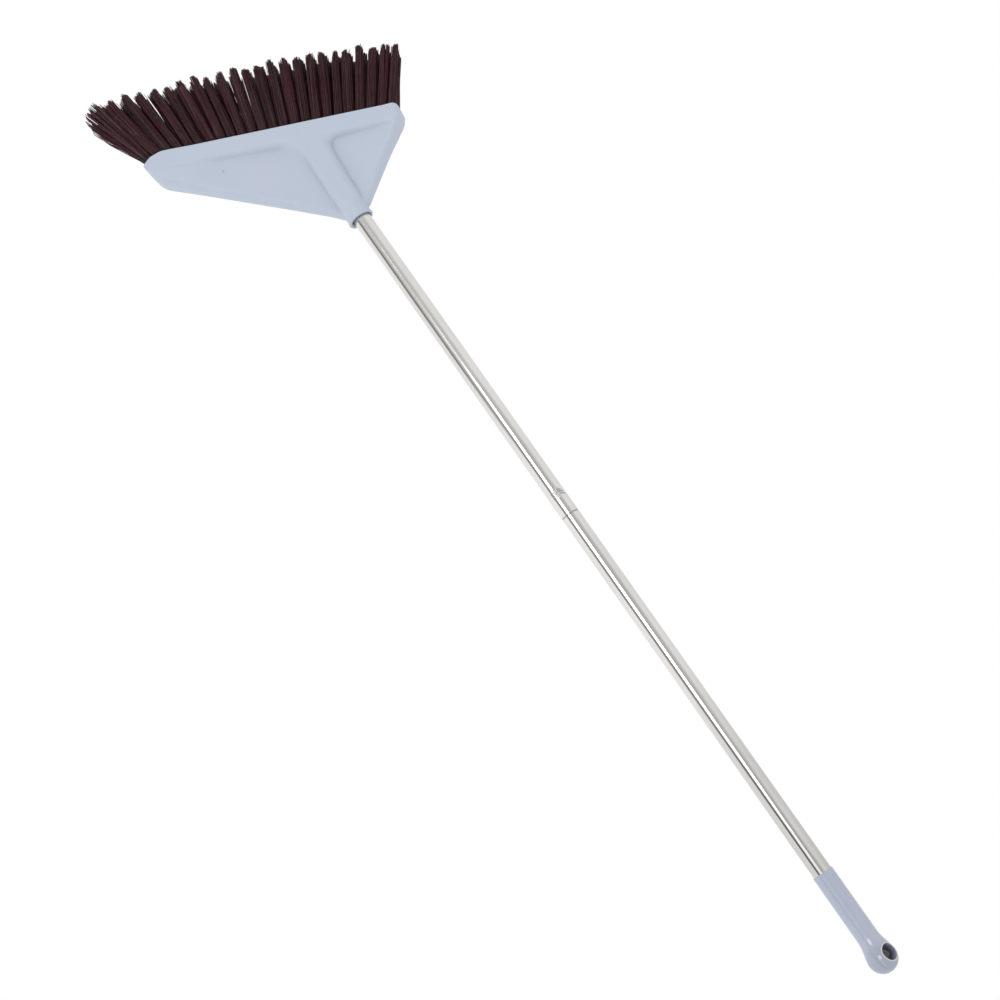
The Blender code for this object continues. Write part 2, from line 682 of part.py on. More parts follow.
def build_strands(name: str, start: float, pitch: float) -> bpy.types.Object:
    """Returns the strands of one slice, four to a tuft, in the head's frame."""
    bm = bmesh.new()
    root_rise = BLOCK_BOTTOM + STRAND_SINK
    for column in range(TUFT_COLUMNS):
        middle = start + pitch * (column + 0.5) / TUFT_COLUMNS
        lean = fan_lean(middle)
        for row in range(TUFT_ROWS):
            depth = (row - (TUFT_ROWS - 1) / 2) * TUFT_ROW_STEP
            drop = tip_drop(middle, row + column)
            for across, away in ((-1, -1), (1, -1), (-1, 1), (1, 1)):
                root = Vector((middle + across * TUFT_SPREAD, depth + away * TUFT_SPREAD, root_rise))
                tip = Vector((middle + lean + across * TIP_SPREAD,
                              depth * ROW_FAN_SHARE + away * TIP_SPREAD, -drop))
                add_strand(bm, root, tip)
    mesh = bpy.data.meshes.new(name)
    bm.to_mesh(mesh)
    bm.free()
    strands = add_object(name, mesh)
    strands.matrix_world = head_frame()
    return strands


def build_block() -> None:
    """The tufted block in slices of two tuft columns, each slice with its own strands."""
    start, end = block_span()
    pitch = (end - start) / SLICES
    for index in range(SLICES):
        left = start + pitch * index
        bm = bmesh.new()
        place = Matrix.Translation((left + pitch / 2, 0.0, (BLOCK_TOP + BLOCK_BOTTOM) / 2))
        size = (pitch - SEAT_GAP, BAR_THICKNESS - (SHELL_WALL + SEAT_GAP) * 2, BLOCK_HEIGHT)
        bmesh.ops.create_cube(bm, size=1.0, matrix=place @ Matrix.Diagonal((*size, 1.0)))
        mesh = bpy.data.meshes.new("bristles")
        bm.to_mesh(mesh)
        bm.free()
        slice_part = add_object(f"bristles_{index + 1:02d}", mesh)
        slice_part.matrix_world = head_frame()
        join(slice_part, build_strands(f"strands_{index + 1:02d}", left, pitch), "UNION")
        finish(slice_part, BRISTLE)


def main() -> None:
    """Builds the broom from the grip down to the tufted block."""
    build_grip()
    build_tubes()
    build_seam_ring()
    build_joint_stud()
    build_joint_nut()
    build_ferrule()
    build_washer()
    build_head_shell()
    build_block()


main()
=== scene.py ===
"""The looks of a floor broom: a moulded head with its tufted block, a steel handle in two parts and a grip.

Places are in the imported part's own frame. Z runs up the handle to the grip, and the origin is the centre of
the hanging hole. Classes hold their sizes in millimetres, and meshes are made in metres.
"""

import functools
import itertools
import json
import logging
import math
from contextlib import contextmanager
from dataclasses import dataclass, field
from enum import Enum
from typing import Callable, Iterable, Iterator, Sequence

import bpy
import numpy as np
from mathutils import Matrix, Vector

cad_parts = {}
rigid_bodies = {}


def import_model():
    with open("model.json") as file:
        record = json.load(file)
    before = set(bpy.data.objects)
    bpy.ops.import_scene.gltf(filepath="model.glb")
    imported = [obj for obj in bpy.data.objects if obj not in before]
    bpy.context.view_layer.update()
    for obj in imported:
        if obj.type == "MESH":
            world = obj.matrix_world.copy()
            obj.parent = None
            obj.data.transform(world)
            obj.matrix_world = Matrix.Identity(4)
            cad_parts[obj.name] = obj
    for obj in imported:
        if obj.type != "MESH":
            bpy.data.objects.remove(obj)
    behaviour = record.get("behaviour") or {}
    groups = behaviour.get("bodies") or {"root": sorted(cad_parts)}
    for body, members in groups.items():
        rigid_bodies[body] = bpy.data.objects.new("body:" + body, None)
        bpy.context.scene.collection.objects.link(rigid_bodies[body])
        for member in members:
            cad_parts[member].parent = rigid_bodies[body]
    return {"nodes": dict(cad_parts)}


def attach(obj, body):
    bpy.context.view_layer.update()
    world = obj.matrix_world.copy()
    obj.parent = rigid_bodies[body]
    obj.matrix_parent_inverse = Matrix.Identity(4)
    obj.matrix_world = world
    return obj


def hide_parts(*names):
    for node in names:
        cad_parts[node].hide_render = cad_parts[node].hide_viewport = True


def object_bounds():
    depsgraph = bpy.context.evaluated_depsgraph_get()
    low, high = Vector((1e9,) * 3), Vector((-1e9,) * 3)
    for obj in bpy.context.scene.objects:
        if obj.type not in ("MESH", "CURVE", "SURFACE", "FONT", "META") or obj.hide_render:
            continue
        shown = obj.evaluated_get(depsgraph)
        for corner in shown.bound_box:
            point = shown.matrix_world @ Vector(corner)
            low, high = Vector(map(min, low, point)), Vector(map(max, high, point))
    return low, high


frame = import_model()
CAD_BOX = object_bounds()

MM = 0.001
DOUBLES = 0.002
GOLDEN_ANGLE = 2.39996
WHOLE = (0.0, 1.0)
ONES = (1.0, 1.0, 1.0)
LOG = logging.getLogger("broom")

Array = np.ndarray
Form = Callable[[Array, Array, Array], Array]
Piece = bpy.types.Object
Finish = bpy.types.Material
Socket = bpy.types.NodeSocket


class Body(Enum):
    """The moving bodies that pieces ride on."""

    UPPER = "upper_handle"
    RING = "seam_ring"
    LOWER = "lower_handle"
    HEAD = "head"


class Slot(Enum):
    """The material slots of the part's record."""

    GRIP = "grip_plastic"
    STEEL = "polished_steel"
    INSERT = "insert_plastic"
    RUBBER = "washer_rubber"
    MOULDED = "moulded_plastic"
    BRISTLE = "bristle_plastic"


# Modelling steps that the pieces share


@contextmanager
def editing(piece: Piece) -> Iterator[None]:
    """Opens one piece in edit mode with everything selected, and closes it again.

    Args:
        piece: the piece.
    """
    choose(piece)
    bpy.ops.object.mode_set(mode="EDIT")
    bpy.ops.mesh.select_all(action="SELECT")
    yield
    bpy.ops.object.mode_set(mode="OBJECT")


def choose(piece: Piece) -> None:
    """Makes one object the only selected one and the active one.

    Args:
        piece: the object.
    """
    for other in bpy.context.view_layer.objects:
        other.select_set(False)
    piece.select_set(True)
    bpy.context.view_layer.objects.active = piece


def named(name: str) -> Piece:
    """Names the object that was just added, and its mesh.

    Args:
        name: the piece's name.

    Returns:
        The object.
    """
    piece = bpy.context.object
    piece.name = piece.data.name = name
    return piece


def settle(piece: Piece) -> Piece:
    """Puts a piece's place, turn and scale into its mesh, so that its object sits at the origin.

    Args:
        piece: the piece.

    Returns:
        The same piece.
    """
    choose(piece)
    bpy.ops.object.transform_apply(location=True, rotation=True, scale=True)
    return piece


def face_outwards(piece: Piece) -> None:
    """Points every face of a piece outwards."""
    with editing(piece):
        bpy.ops.mesh.normals_make_consistent(inside=False)


def smooth(piece: Piece, angle: float) -> None:
    """Shades a piece smooth, apart from edges sharper than an angle in degrees."""
    choose(piece)
    bpy.ops.object.shade_smooth_by_angle(angle=math.radians(angle))


def metres(values: Iterable[float]) -> tuple:
    """Returns lengths in millimetres as lengths in metres."""
    return tuple(float(value) * MM for value in values)


def new_mesh(name: str, points: Sequence, edges: Sequence, faces: Sequence) -> Piece:
    """Adds an object with a mesh.

    Args:
        name: the piece's name.
        points: the mesh's points, in millimetres.
        edges: pairs of points.
        faces: rings of points.

    Returns:
        The new object, in the scene and active.
    """
    mesh = bpy.data.meshes.new(name)
    mesh.from_pydata([metres(point) for point in points], edges, faces)
    piece = bpy.data.objects.new(name, mesh)
    bpy.context.scene.collection.objects.link(piece)
    choose(piece)
    return piece


def turned(name: str, profile: Sequence[tuple], segments: int) -> Piece:
    """Turns a closed section round the handle's axis.

    Args:
        name: the piece's name.
        profile: the section's (radius, height) points in millimetres.
        segments: how many steps make the turn.

    Returns:
        The turned piece, closed and with its faces outwards.
    """
    edges = [(index, (index + 1) % len(profile)) for index in range(len(profile))]
    piece = new_mesh(name, [(radius, 0.0, height) for radius, height in profile], edges, [])
    with editing(piece):
        bpy.ops.mesh.spin(steps=segments, angle=math.tau, center=(0, 0, 0), axis=(0, 0, 1))
    with editing(piece):
        bpy.ops.mesh.remove_doubles(threshold=DOUBLES * MM)
    face_outwards(piece)
    return piece


def dressed(piece: Piece, finish: Finish, body: Body, slot: Slot, *nodes: str) -> Piece:
    """Gives a shaped piece its finish and sets it on its body.

    Args:
        piece: the piece.
        finish: its material.
        body: the body that it rides on.
        slot: the record's slot that its finish belongs to; not used.
        nodes: the CAD nodes that it stands for.

    Returns:
        The same piece.
    """
    piece.data.materials.append(finish)
    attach(piece, body.value)
    if nodes:
        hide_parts(*nodes)
    return piece


def report(*made: Piece) -> None:
    """Logs each piece with its number of triangles.

    Args:
        made: the pieces.
    """
    for piece in made:
        triangles = sum(len(face.vertices) - 2 for face in piece.data.polygons)
        LOG.info("%s: %d triangles", piece.name, triangles)


# Soft moulded forms, which bevels can't blend: each is a distance field that is netted into a mesh


def eased(value: Array, start: float, end: float) -> Array:
    """Returns 0 before start, 1 after end and a smooth rise between them."""
    share = np.clip((value - start) / (end - start), 0.0, 1.0)
    return share * share * (3 - 2 * share)


def blended(first: Array, second: Array, width: Array | float) -> Array:
    """Returns the union of two distances with a fillet of about the width."""
    overlap = np.maximum(width - np.abs(first - second), 0.0) / width
    return np.minimum(first, second) - overlap * overlap * width / 4


def cut_away(body: Array, hollow: Array, width: float) -> Array:
    """Returns a body's distance less a hollow's, with the edge rounded by about the width."""
    return -blended(-body, hollow, width)


def changed(first: Array | float, second: Array | float, share: Array) -> Array:
    """Returns a first value that has turned into a second one by a share."""
    return first + (second - first) * share


def pressed(flat: Array, deep: Array, radius: Array | float) -> Array:
    """Measures a pressed-out shape with a rounded edge.

    Args:
        flat: the distance from the shape's outline.
        deep: the distance from its face.
        radius: the edge's radius.

    Returns:
        The distance from the shape.
    """
    across, away = flat + radius, deep + radius
    outside = np.hypot(np.maximum(across, 0.0), np.maximum(away, 0.0))
    return np.minimum(np.maximum(across, away), 0.0) + outside - radius


def outline_distance(across: Array, rise: Array, points: Sequence[tuple]) -> Array:
    """Measures how far places lie from a closed outline.

    Args:
        across: the places' first coordinate.
        rise: the places' second coordinate.
        points: the outline's corners in order.

    Returns:
        The distance, negative inside the outline.
    """
    nearest: Array | None = None
    inside: Array | bool = False
    for (x0, y0), (x1, y1) in zip(points, [*points[1:], points[0]]):
        run, climb = x1 - x0, y1 - y0
        share = np.clip(((across - x0) * run + (rise - y0) * climb) / (run * run + climb * climb), 0.0, 1.0)
        gap = (across - x0 - share * run) ** 2 + (rise - y0 - share * climb) ** 2
        nearest = gap if nearest is None else np.minimum(nearest, gap)
        slope = run / climb if climb else 0.0
        inside = inside ^ (((y0 > rise) != (y1 > rise)) & (across < x0 + slope * (rise - y0)))
    return np.where(inside, -1.0, 1.0) * np.sqrt(nearest)


def rounded_corners(corners: Sequence[tuple], steps: int = 10) -> list[tuple]:
    """Rounds each corner of an outline.

    Args:
        corners: (along, rise, radius) corners in order.
        steps: how many steps make one round.

    Returns:
        The outline's points.
    """
    points = []
    for index, (along, rise, radius) in enumerate(corners):
        here = Vector((along, rise))
        before = (Vector(corners[index - 1][:2]) - here).normalized()
        after = (Vector(corners[(index + 1) % len(corners)][:2]) - here).normalized()
        half = before.angle(after) / 2
        middle = here + (before + after).normalized() * radius / math.sin(half)
        start = here + before * radius / math.tan(half) - middle
        side = before.x * after.y - before.y * after.x
        turn = math.copysign(math.pi - 2 * half, -side)
        for step in range(steps + 1):
            points.append(tuple(middle + Matrix.Rotation(turn * step / steps, 2) @ start))
    return points


def flowing(points: Sequence[tuple], steps: int) -> list[tuple]:
    """Draws a smooth line through points.

    Args:
        points: the points in order.
        steps: how many steps lead from each point to the next.

    Returns:
        The line's points.
    """
    line = []
    held = [np.array(point) for point in (points[0], *points, points[-1])]
    for p0, p1, p2, p3 in zip(held, held[1:], held[2:], held[3:]):
        for step in range(steps):
            t = step / steps
            line.append(tuple(0.5 * (2 * p1 + (p2 - p0) * t + (2 * p0 - 5 * p1 + 4 * p2 - p3) * t * t
                                     + (3 * p1 - p0 - 3 * p2 + p3) * t ** 3)))
    return [*line, tuple(points[-1])]


@dataclass
class Net:
    """Nets the zero surface of a form into four-sided faces, and draws them onto it.

    Attributes:
        form: the distance in millimetres as a function of three coordinates.
        low: the lowest corner of the room that holds the form, in millimetres.
        high: its highest corner.
        step: the width of a cell.
        relaxings: how often the points are evened out and drawn back.
        reach: how far apart the form is compared to find its growth.
        least_growth: the least growth that points are drawn by, squared.
    """

    form: Form
    low: tuple
    high: tuple
    step: float
    relaxings: int = 3
    reach: float = 0.04
    least_growth: float = 0.25

    def lattice(self) -> Array:
        """Returns the form's distance at every lattice point."""
        axes = [np.arange(low, high + self.step, self.step) for low, high in zip(self.low, self.high)]
        across, deep, rise = np.meshgrid(*axes, indexing="ij", sparse=True)
        return np.broadcast_to(self.form(across, deep, rise), [len(axis) for axis in axes])

    def cells(self, values: Array) -> tuple[Array, Array]:
        """Finds the cells that the surface runs through.

        Args:
            values: the distance at every lattice point.

        Returns:
            Each cell's place in the lattice, and a lattice of the cells' numbers.
        """
        inside = values < 0
        shape = np.array(values.shape) - 1
        corners = np.zeros(shape, int)
        for corner in itertools.product((0, 1), repeat=3):
            corners += inside[tuple(slice(low, low + count) for low, count in zip(corner, shape))]
        active = (corners > 0) & (corners < 8)
        cells = np.argwhere(active)
        index = np.full(shape, -1)
        index[active] = np.arange(len(cells))
        return cells, index

    def crossings(self, values: Array, cells: Array) -> Array:
        """Finds where the surface crosses the edges of each cell.

        Args:
            values: the distance at every lattice point.
            cells: each cell's place in the lattice.

        Returns:
            The mean of each cell's crossings, in millimetres.
        """
        total, count = np.zeros((len(cells), 3)), np.zeros(len(cells))
        units = np.eye(3, dtype=int)
        for axis in range(3):
            second, third = units[(axis + 1) % 3], units[(axis + 2) % 3]
            for shift in (0 * second, second, third, second + third):
                start = cells + shift
                here, there = values[tuple(start.T)], values[tuple((start + units[axis]).T)]
                crossed = (here < 0) != (there < 0)
                share = here / np.where(crossed, here - there, 1.0)
                total += np.where(crossed[:, None], shift + share[:, None] * units[axis], 0.0)
                count += crossed
        return np.array(self.low) + self.step * (cells + total / count[:, None])

    def faces(self, values: Array, index: Array) -> Array:
        """Joins the cells round each lattice edge that the surface crosses.

        Args:
            values: the distance at every lattice point.
            index: the lattice of the cells' numbers.

        Returns:
            One four-sided face for each crossed edge.
        """
        inside, units, found = values < 0, np.eye(3, dtype=int), []
        for axis in range(3):
            second, third = units[(axis + 1) % 3], units[(axis + 2) % 3]
            near = [slice(1, count - 1) for count in values.shape]
            near[axis] = slice(0, values.shape[axis] - 1)
            far = list(near)
            far[axis] = slice(1, values.shape[axis])
            here, there = inside[tuple(near)], inside[tuple(far)]
            for leaving in (True, False):
                edges = np.argwhere((here == leaving) & (there != leaving)) + (1 - units[axis])
                shifts = (0 * second, second, second + third, third)
                ring = [index[tuple((edges - shift).T)] for shift in shifts]
                found.append(np.stack(ring if leaving else ring[::-1], 1))
        return np.concatenate(found)

    def gradient(self, points: Array) -> Array:
        """Measures how the distance grows at each point.

        Args:
            points: places in the form's own frame.

        Returns:
            The growth along each axis.
        """
        columns = []
        for shift in np.eye(3) * self.reach:
            rise = self.form(*(points + shift).T) - self.form(*(points - shift).T)
            columns.append(rise / (2 * self.reach))
        return np.stack(columns, 1)

    def drawn(self, points: Array) -> Array:
        """Draws points onto the surface.

        Args:
            points: places close to the surface.

        Returns:
            The places moved onto it.
        """
        for _ in range(2):
            slope = self.gradient(points)
            share = self.form(*points.T) / np.maximum((slope ** 2).sum(1), self.least_growth)
            points = points - slope * np.clip(share, -self.step, self.step)[:, None]
        return points

    def relaxed(self, points: Array, faces: Array) -> Array:
        """Evens out the points.

        Args:
            points: the net's points.
            faces: its four-sided faces.

        Returns:
            The points moved half way to the middle of their neighbours.
        """
        total, count = np.zeros_like(points), np.zeros(len(points))
        for first, second in ((0, 1), (1, 2), (2, 3), (3, 0)):
            for here, there in ((first, second), (second, first)):
                np.add.at(total, faces[:, here], points[faces[:, there]])
                np.add.at(count, faces[:, here], 1)
        return 0.5 * points + 0.5 * total / count[:, None]

    def piece(self, name: str, place: Matrix) -> Piece:
        """Makes the form's mesh.

        Args:
            name: the piece's name.
            place: the form's frame in the part, in metres.

        Returns:
            The finished piece at the origin.
        """
        values = self.lattice()
        cells, index = self.cells(values)
        points, faces = self.crossings(values, cells), self.faces(values, index)
        for _ in range(self.relaxings):
            points = self.drawn(self.relaxed(points, faces))
        piece = new_mesh(name, points.tolist(), [], faces.tolist())
        piece.data.transform(place)
        face_outwards(piece)
        choose(piece)
        bpy.ops.object.shade_smooth()
        slope = self.gradient(points) @ np.array(place.to_3x3()).T
        slope /= np.linalg.norm(slope, axis=1)[:, None]
        piece.data.normals_split_custom_set_from_vertices(slope.tolist())
        return piece


# Shader nodes


class Sheet:
    """A node tree that is filled in a few words.

    Args:
        tree: the node tree of a material, a world or a group.
    """

    def __init__(self, tree: bpy.types.NodeTree) -> None:
        """Keeps the tree."""
        self.tree = tree

    def node(self, kind: str, settings: dict | None = None, **sockets: object) -> bpy.types.Node:
        """Adds a node.

        Args:
            kind: the node's type, less its first words.
            settings: its options by name.
            sockets: what to feed to its sockets, by their names.

        Returns:
            The node.
        """
        made = self.tree.nodes.new("ShaderNode" + kind)
        for option, value in (settings or {}).items():
            setattr(made, option, value)
        self.feed_named(made, sockets)
        return made

    def feed(self, socket: Socket, value: object) -> None:
        """Feeds one socket.

        Args:
            socket: the socket.
            value: an output to link to it, or its own value.
        """
        if isinstance(value, Socket):
            self.tree.links.new(value, socket)
        else:
            socket.default_value = value

    def feed_named(self, made: bpy.types.Node, sockets: dict) -> None:
        """Feeds a node's sockets, named with an underscore for each space."""
        for socket, value in sockets.items():
            self.feed(made.inputs[socket.replace("_", " ")], value)

    def counted(self, kind: str, operation: str, values: Sequence) -> bpy.types.Node:
        """Adds a node that works on its sockets in order.

        Args:
            kind: the node's type, less its first words.
            operation: what it does.
            values: what to feed to its sockets.

        Returns:
            The node.
        """
        made = self.node(kind, {"operation": operation})
        for socket, value in zip(made.inputs, values):
            self.feed(socket, value)
        return made

    def maths(self, operation: str, *values: object) -> Socket:
        """Returns the result of a Math node."""
        return self.counted("Math", operation, values).outputs[0]

    def measured(self, operation: str, *values: object) -> Socket:
        """Returns the number that a Vector Math node gives."""
        return self.counted("VectorMath", operation, values).outputs["Value"]

    def product(self, *values: object) -> Socket:
        """Returns the product of several values."""
        return functools.reduce(lambda first, second: self.maths("MULTIPLY", first, second), values)

    def total(self, *values: object) -> Socket:
        """Returns the sum of several values."""
        return functools.reduce(lambda first, second: self.maths("ADD", first, second), values)

    def ranged(self, value: object, source: tuple, target: tuple = WHOLE) -> Socket:
        """Moves a value smoothly from one range to another.

        Args:
            value: the value.
            source: the range that it comes from.
            target: the range that it goes to.

        Returns:
            The value in its new range.
        """
        made = self.node("MapRange", {"interpolation_type": "SMOOTHSTEP"}, Value=value)
        for socket, number in zip(("From Min", "From Max", "To Min", "To Max"), (*source, *target)):
            made.inputs[socket].default_value = number
        return made.outputs[0]

    def mixed(self, share: object, first: object, second: object) -> Socket:
        """Mixes two colours.

        Args:
            share: how much of the second colour there is.
            first: the first colour.
            second: the second colour.

        Returns:
            The mixed colour.
        """
        made = self.node("Mix", {"data_type": "RGBA"})
        for index, value in ((0, share), (6, first), (7, second)):
            self.feed(made.inputs[index], value)
        return made.outputs[2]

    def noise(self, place: object, scale: object, **settings: float) -> Socket:
        """Returns noise over a surface."""
        return self.node("TexNoise", Vector=place, Scale=scale, **settings).outputs[0]

    def attribute(self, name: str) -> Socket:
        """Returns a number that the mesh holds at each of its points."""
        return self.node("Attribute", {"attribute_name": name}).outputs["Fac"]

    def place(self) -> Socket:
        """Returns the piece's own coordinates."""
        return self.node("TexCoord").outputs["Object"]

    def axis(self, place: object, index: int) -> Socket:
        """Returns one of a place's three coordinates."""
        return self.node("SeparateXYZ", Vector=place).outputs[index]

    def stretched(self, source: object, scale: tuple = ONES, place: tuple = (0.0, 0.0, 0.0),
                  turn: tuple = (0.0, 0.0, 0.0)) -> Socket:
        """Moves, turns and stretches coordinates.

        Args:
            source: the coordinates.
            scale: how they are stretched.
            place: how they are moved.
            turn: how they are turned, in radians.

        Returns:
            The new coordinates.
        """
        made = self.node("Mapping", Vector=source)
        for socket, value in (("Location", place), ("Rotation", turn), ("Scale", scale)):
            made.inputs[socket].default_value = value
        return made.outputs[0]

    def group(self, name: str, place: object, **sockets: object) -> tuple:
        """Adds a shared effect with its own values.

        Args:
            name: the effect's name.
            place: the coordinates that it reads.
            sockets: its values by name.

        Returns:
            What it puts out, in order.
        """
        made = self.node("Group")
        made.node_tree = bpy.data.node_groups[name]
        self.feed_named(made, {"Vector": place, **sockets})
        return tuple(made.outputs)


def start_group(name: str, inputs: dict, *outputs: tuple) -> tuple[Sheet, list, list]:
    """Starts a shader node group that reads coordinates.

    Args:
        name: the group's name.
        inputs: the name and default value of each of its other inputs.
        outputs: the name and kind of each output.

    Returns:
        The group's sheet, what comes in, and the sockets of what goes out.
    """
    tree = bpy.data.node_groups.new(name, "ShaderNodeTree")
    tree.interface.new_socket(name="Vector", in_out="INPUT", socket_type="NodeSocketVector")
    for socket, default in inputs.items():
        kind = "NodeSocketColor" if isinstance(default, tuple) else "NodeSocketFloat"
        made = tree.interface.new_socket(name=socket, in_out="INPUT", socket_type=kind)
        made.default_value = default
    for socket, kind in outputs:
        tree.interface.new_socket(name=socket, in_out="OUTPUT", socket_type="NodeSocket" + kind)
    into, out = tree.nodes.new("NodeGroupInput"), tree.nodes.new("NodeGroupOutput")
    coming = [into.outputs[socket] for socket in ("Vector", *inputs)]
    going = [out.inputs[socket] for socket, _ in outputs]
    return Sheet(tree), coming, going


class Effects:
    """The effects that more than one finish uses, each a node group built once."""

    GRAIN = "fine grain"
    MOTTLE = "colour mottle"
    SCRATCHES = "hairline scratches"
    WEAR = "edge wear"
    DUST_AND_SHADE = "settled dust and painted hollow shade"

    def build(self) -> None:
        """Builds every group."""
        self.build_grain()
        self.build_mottle()
        self.build_scratches()
        self.build_bent(self.WEAR, 200.0, 0.5, (0.52, 0.6), (0.4, 0.65), WHOLE)
        # The hollow mask stands for settled dust and painted shade in creases.
        self.build_bent(self.DUST_AND_SHADE, 120.0, 0.4, (0.49, 0.44), (0.3, 0.7), (0.35, 1.0))

    def build_grain(self) -> None:
        """Fine and broad noise as a height for a Bump node."""
        sheet, (place, fine_scale, broad_scale, share), (height,) = start_group(
            self.GRAIN, {"Fine Scale": 4000.0, "Broad Scale": 90.0, "Broad Share": 0.5}, ("Height", "Float"))
        fine = sheet.noise(place, fine_scale, Detail=3.0, Roughness=0.6)
        broad = sheet.noise(place, broad_scale, Detail=2.0, Roughness=0.45)
        mix = sheet.node("Mix", {"data_type": "FLOAT"})
        for index, value in ((0, share), (2, fine), (3, broad)):
            sheet.feed(mix.inputs[index], value)
        sheet.feed(height, mix.outputs[0])

    def build_mottle(self) -> None:
        """Two colours that drift into each other, and a mask of the second."""
        sheet, (place, scale, first, second), (colour, mask) = start_group(
            self.MOTTLE, {"Scale": 30.0, "First": shade(0.5), "Second": shade(0.6)},
            ("Color", "Color"), ("Mask", "Float"))
        noise = sheet.noise(place, scale, Detail=4.0, Roughness=0.55, Distortion=0.4)
        share = sheet.ranged(noise, (0.3, 0.7))
        sheet.feed(colour, sheet.mixed(share, first, second))
        sheet.feed(mask, share)

    def build_scratches(self) -> None:
        """Thin scratches along the vector's last axis, broken by patches."""
        sheet, (place, scale, length, patches, amount), (mask,) = start_group(
            self.SCRATCHES, {"Scale": 900.0, "Length": 0.03, "Patches": 40.0, "Amount": 0.3},
            ("Mask", "Float"))
        squeeze = sheet.node("CombineXYZ", X=1.0, Y=1.0, Z=length).outputs[0]
        along = sheet.counted("VectorMath", "MULTIPLY", (place, squeeze)).outputs[0]
        thin = sheet.ranged(sheet.noise(along, scale, Detail=2.0), (0.58, 0.7))
        here = sheet.ranged(sheet.noise(place, patches, Detail=2.0), (0.42, 0.62))
        sheet.feed(mask, sheet.product(thin, here, amount))

    def build_bent(self, name: str, scale: float, amount: float, bend: tuple, speckle: tuple,
                   left: tuple) -> None:
        """Builds a mask where the surface bends outwards or inwards, broken by noise.

        Args:
            name: the effect's name.
            scale: the noise's usual scale.
            amount: the mask's usual strength.
            bend: the range of the surface's pointiness in which the mask rises.
            speckle: the range of the noise in which its patches rise.
            left: the mask's share between the patches and in them.
        """
        sheet, (place, size, strength), (mask,) = start_group(
            name, {"Scale": scale, "Amount": amount}, ("Mask", "Float"))
        edges = sheet.ranged(sheet.node("NewGeometry").outputs["Pointiness"], bend)
        patches = sheet.ranged(sheet.noise(place, size, Detail=3.0), speckle, left)
        sheet.feed(mask, sheet.product(edges, patches, strength))


def start_material(name: str, **constants: object) -> tuple[Finish, Sheet, bpy.types.Node]:
    """Starts a material with a Principled shader.

    Args:
        name: the material's name.
        constants: the shader's values that are the same all over the surface, by name.

    Returns:
        The material, its sheet and the shader node.
    """
    material = bpy.data.materials.new(name)
    material.use_nodes = True
    sheet = Sheet(material.node_tree)
    shader = material.node_tree.nodes["Principled BSDF"]
    sheet.feed_named(shader, constants)
    return material, sheet, shader


def coat(sheet: Sheet, shader: bpy.types.Node, colour: object, rough: object, height: object,
         depth: float) -> None:
    """Feeds a shader with what changes over the surface.

    Args:
        sheet: the material's sheet.
        shader: its Principled shader.
        colour: the surface's colour.
        rough: its roughness.
        height: its relief.
        depth: that relief's depth, in millimetres.
    """
    relief = sheet.node("Bump", Strength=1.0, Distance=depth * MM, Height=height).outputs[0]
    sheet.feed_named(shader, {"Base_Color": colour, "Roughness": rough, "Normal": relief})


def shade(value: float) -> tuple:
    """Returns a grey as a colour with alpha."""
    return (value, value, value, 1.0)


def tinted(colour: tuple, factor: float, lift: float = 0.0) -> tuple:
    """Returns a colour times a factor and lifted."""
    return (*(min(value * factor + lift, 1.0) for value in colour[:3]), 1.0)


@dataclass(frozen=True)
class HoleShade:
    """The painted shade in a level hole through a piece, and the painted highlight round its rim.

    Attributes:
        turn: the hole's direction, in degrees round the handle's axis.
        height: the height of its middle.
        radius: its radius.
        wall_gap: how far outside that radius the shade starts and is full.
        highlight_start: how far outside it the painted highlight on the rim starts and is full.
        highlight_end: how far outside it the painted highlight ends and is still full.
        rim: the painted highlight's colour.
        highlight_share: how much of that colour there is.
        wall: the colour of the painted shade on the wall.
        front: the depths between which the shade grows from the front, and its shares there.
        back: the same from the back.
    """

    turn: float
    height: float
    radius: float
    wall_gap: tuple = (0.5, 0.1)
    highlight_start: tuple = (0.2, 0.6)
    highlight_end: tuple = (1.7, 1.1)
    rim: tuple = (0.66, 0.68, 0.76, 1.0)
    highlight_share: float = 0.6
    wall: tuple = (0.085, 0.082, 0.112, 1.0)
    front: tuple = ((-12.2, -3.5), (0.05, 1.0))
    back: tuple = ((12.8, 11.2), (0.15, 1.0))

    def painted(self, sheet: Sheet, place: Socket, colour: object) -> Socket:
        """Paints the hole's painted shade and its rim's painted highlight over a colour.

        Args:
            sheet: the material's sheet.
            place: the piece's own coordinates.
            colour: the colour round the hole.

        Returns:
            The colour with the hole's painted shade and the rim's painted highlight in it.
        """
        facing = sheet.stretched(place, turn=(0.0, 0.0, -math.radians(self.turn)))
        flat = sheet.stretched(facing, (1.0, 0.0, 1.0), (0.0, 0.0, -self.height * MM))
        gap = sheet.measured("LENGTH", flat)
        within, start, end = (sheet.ranged(gap, metres(self.radius + edge for edge in edges))
                              for edges in (self.wall_gap, self.highlight_start, self.highlight_end))
        deep = sheet.axis(facing, 1)
        front, back = (sheet.ranged(deep, metres(depths), shares)
                       for depths, shares in (self.front, self.back))
        # Painted highlight: a pale ring on the hole's rim.
        rubbed = sheet.mixed(sheet.product(start, end, self.highlight_share), colour, self.rim)
        # Painted shade: the hole's wall is darkened, less near its two openings.
        return sheet.mixed(sheet.product(within, sheet.maths("MINIMUM", front, back)), rubbed, self.wall)


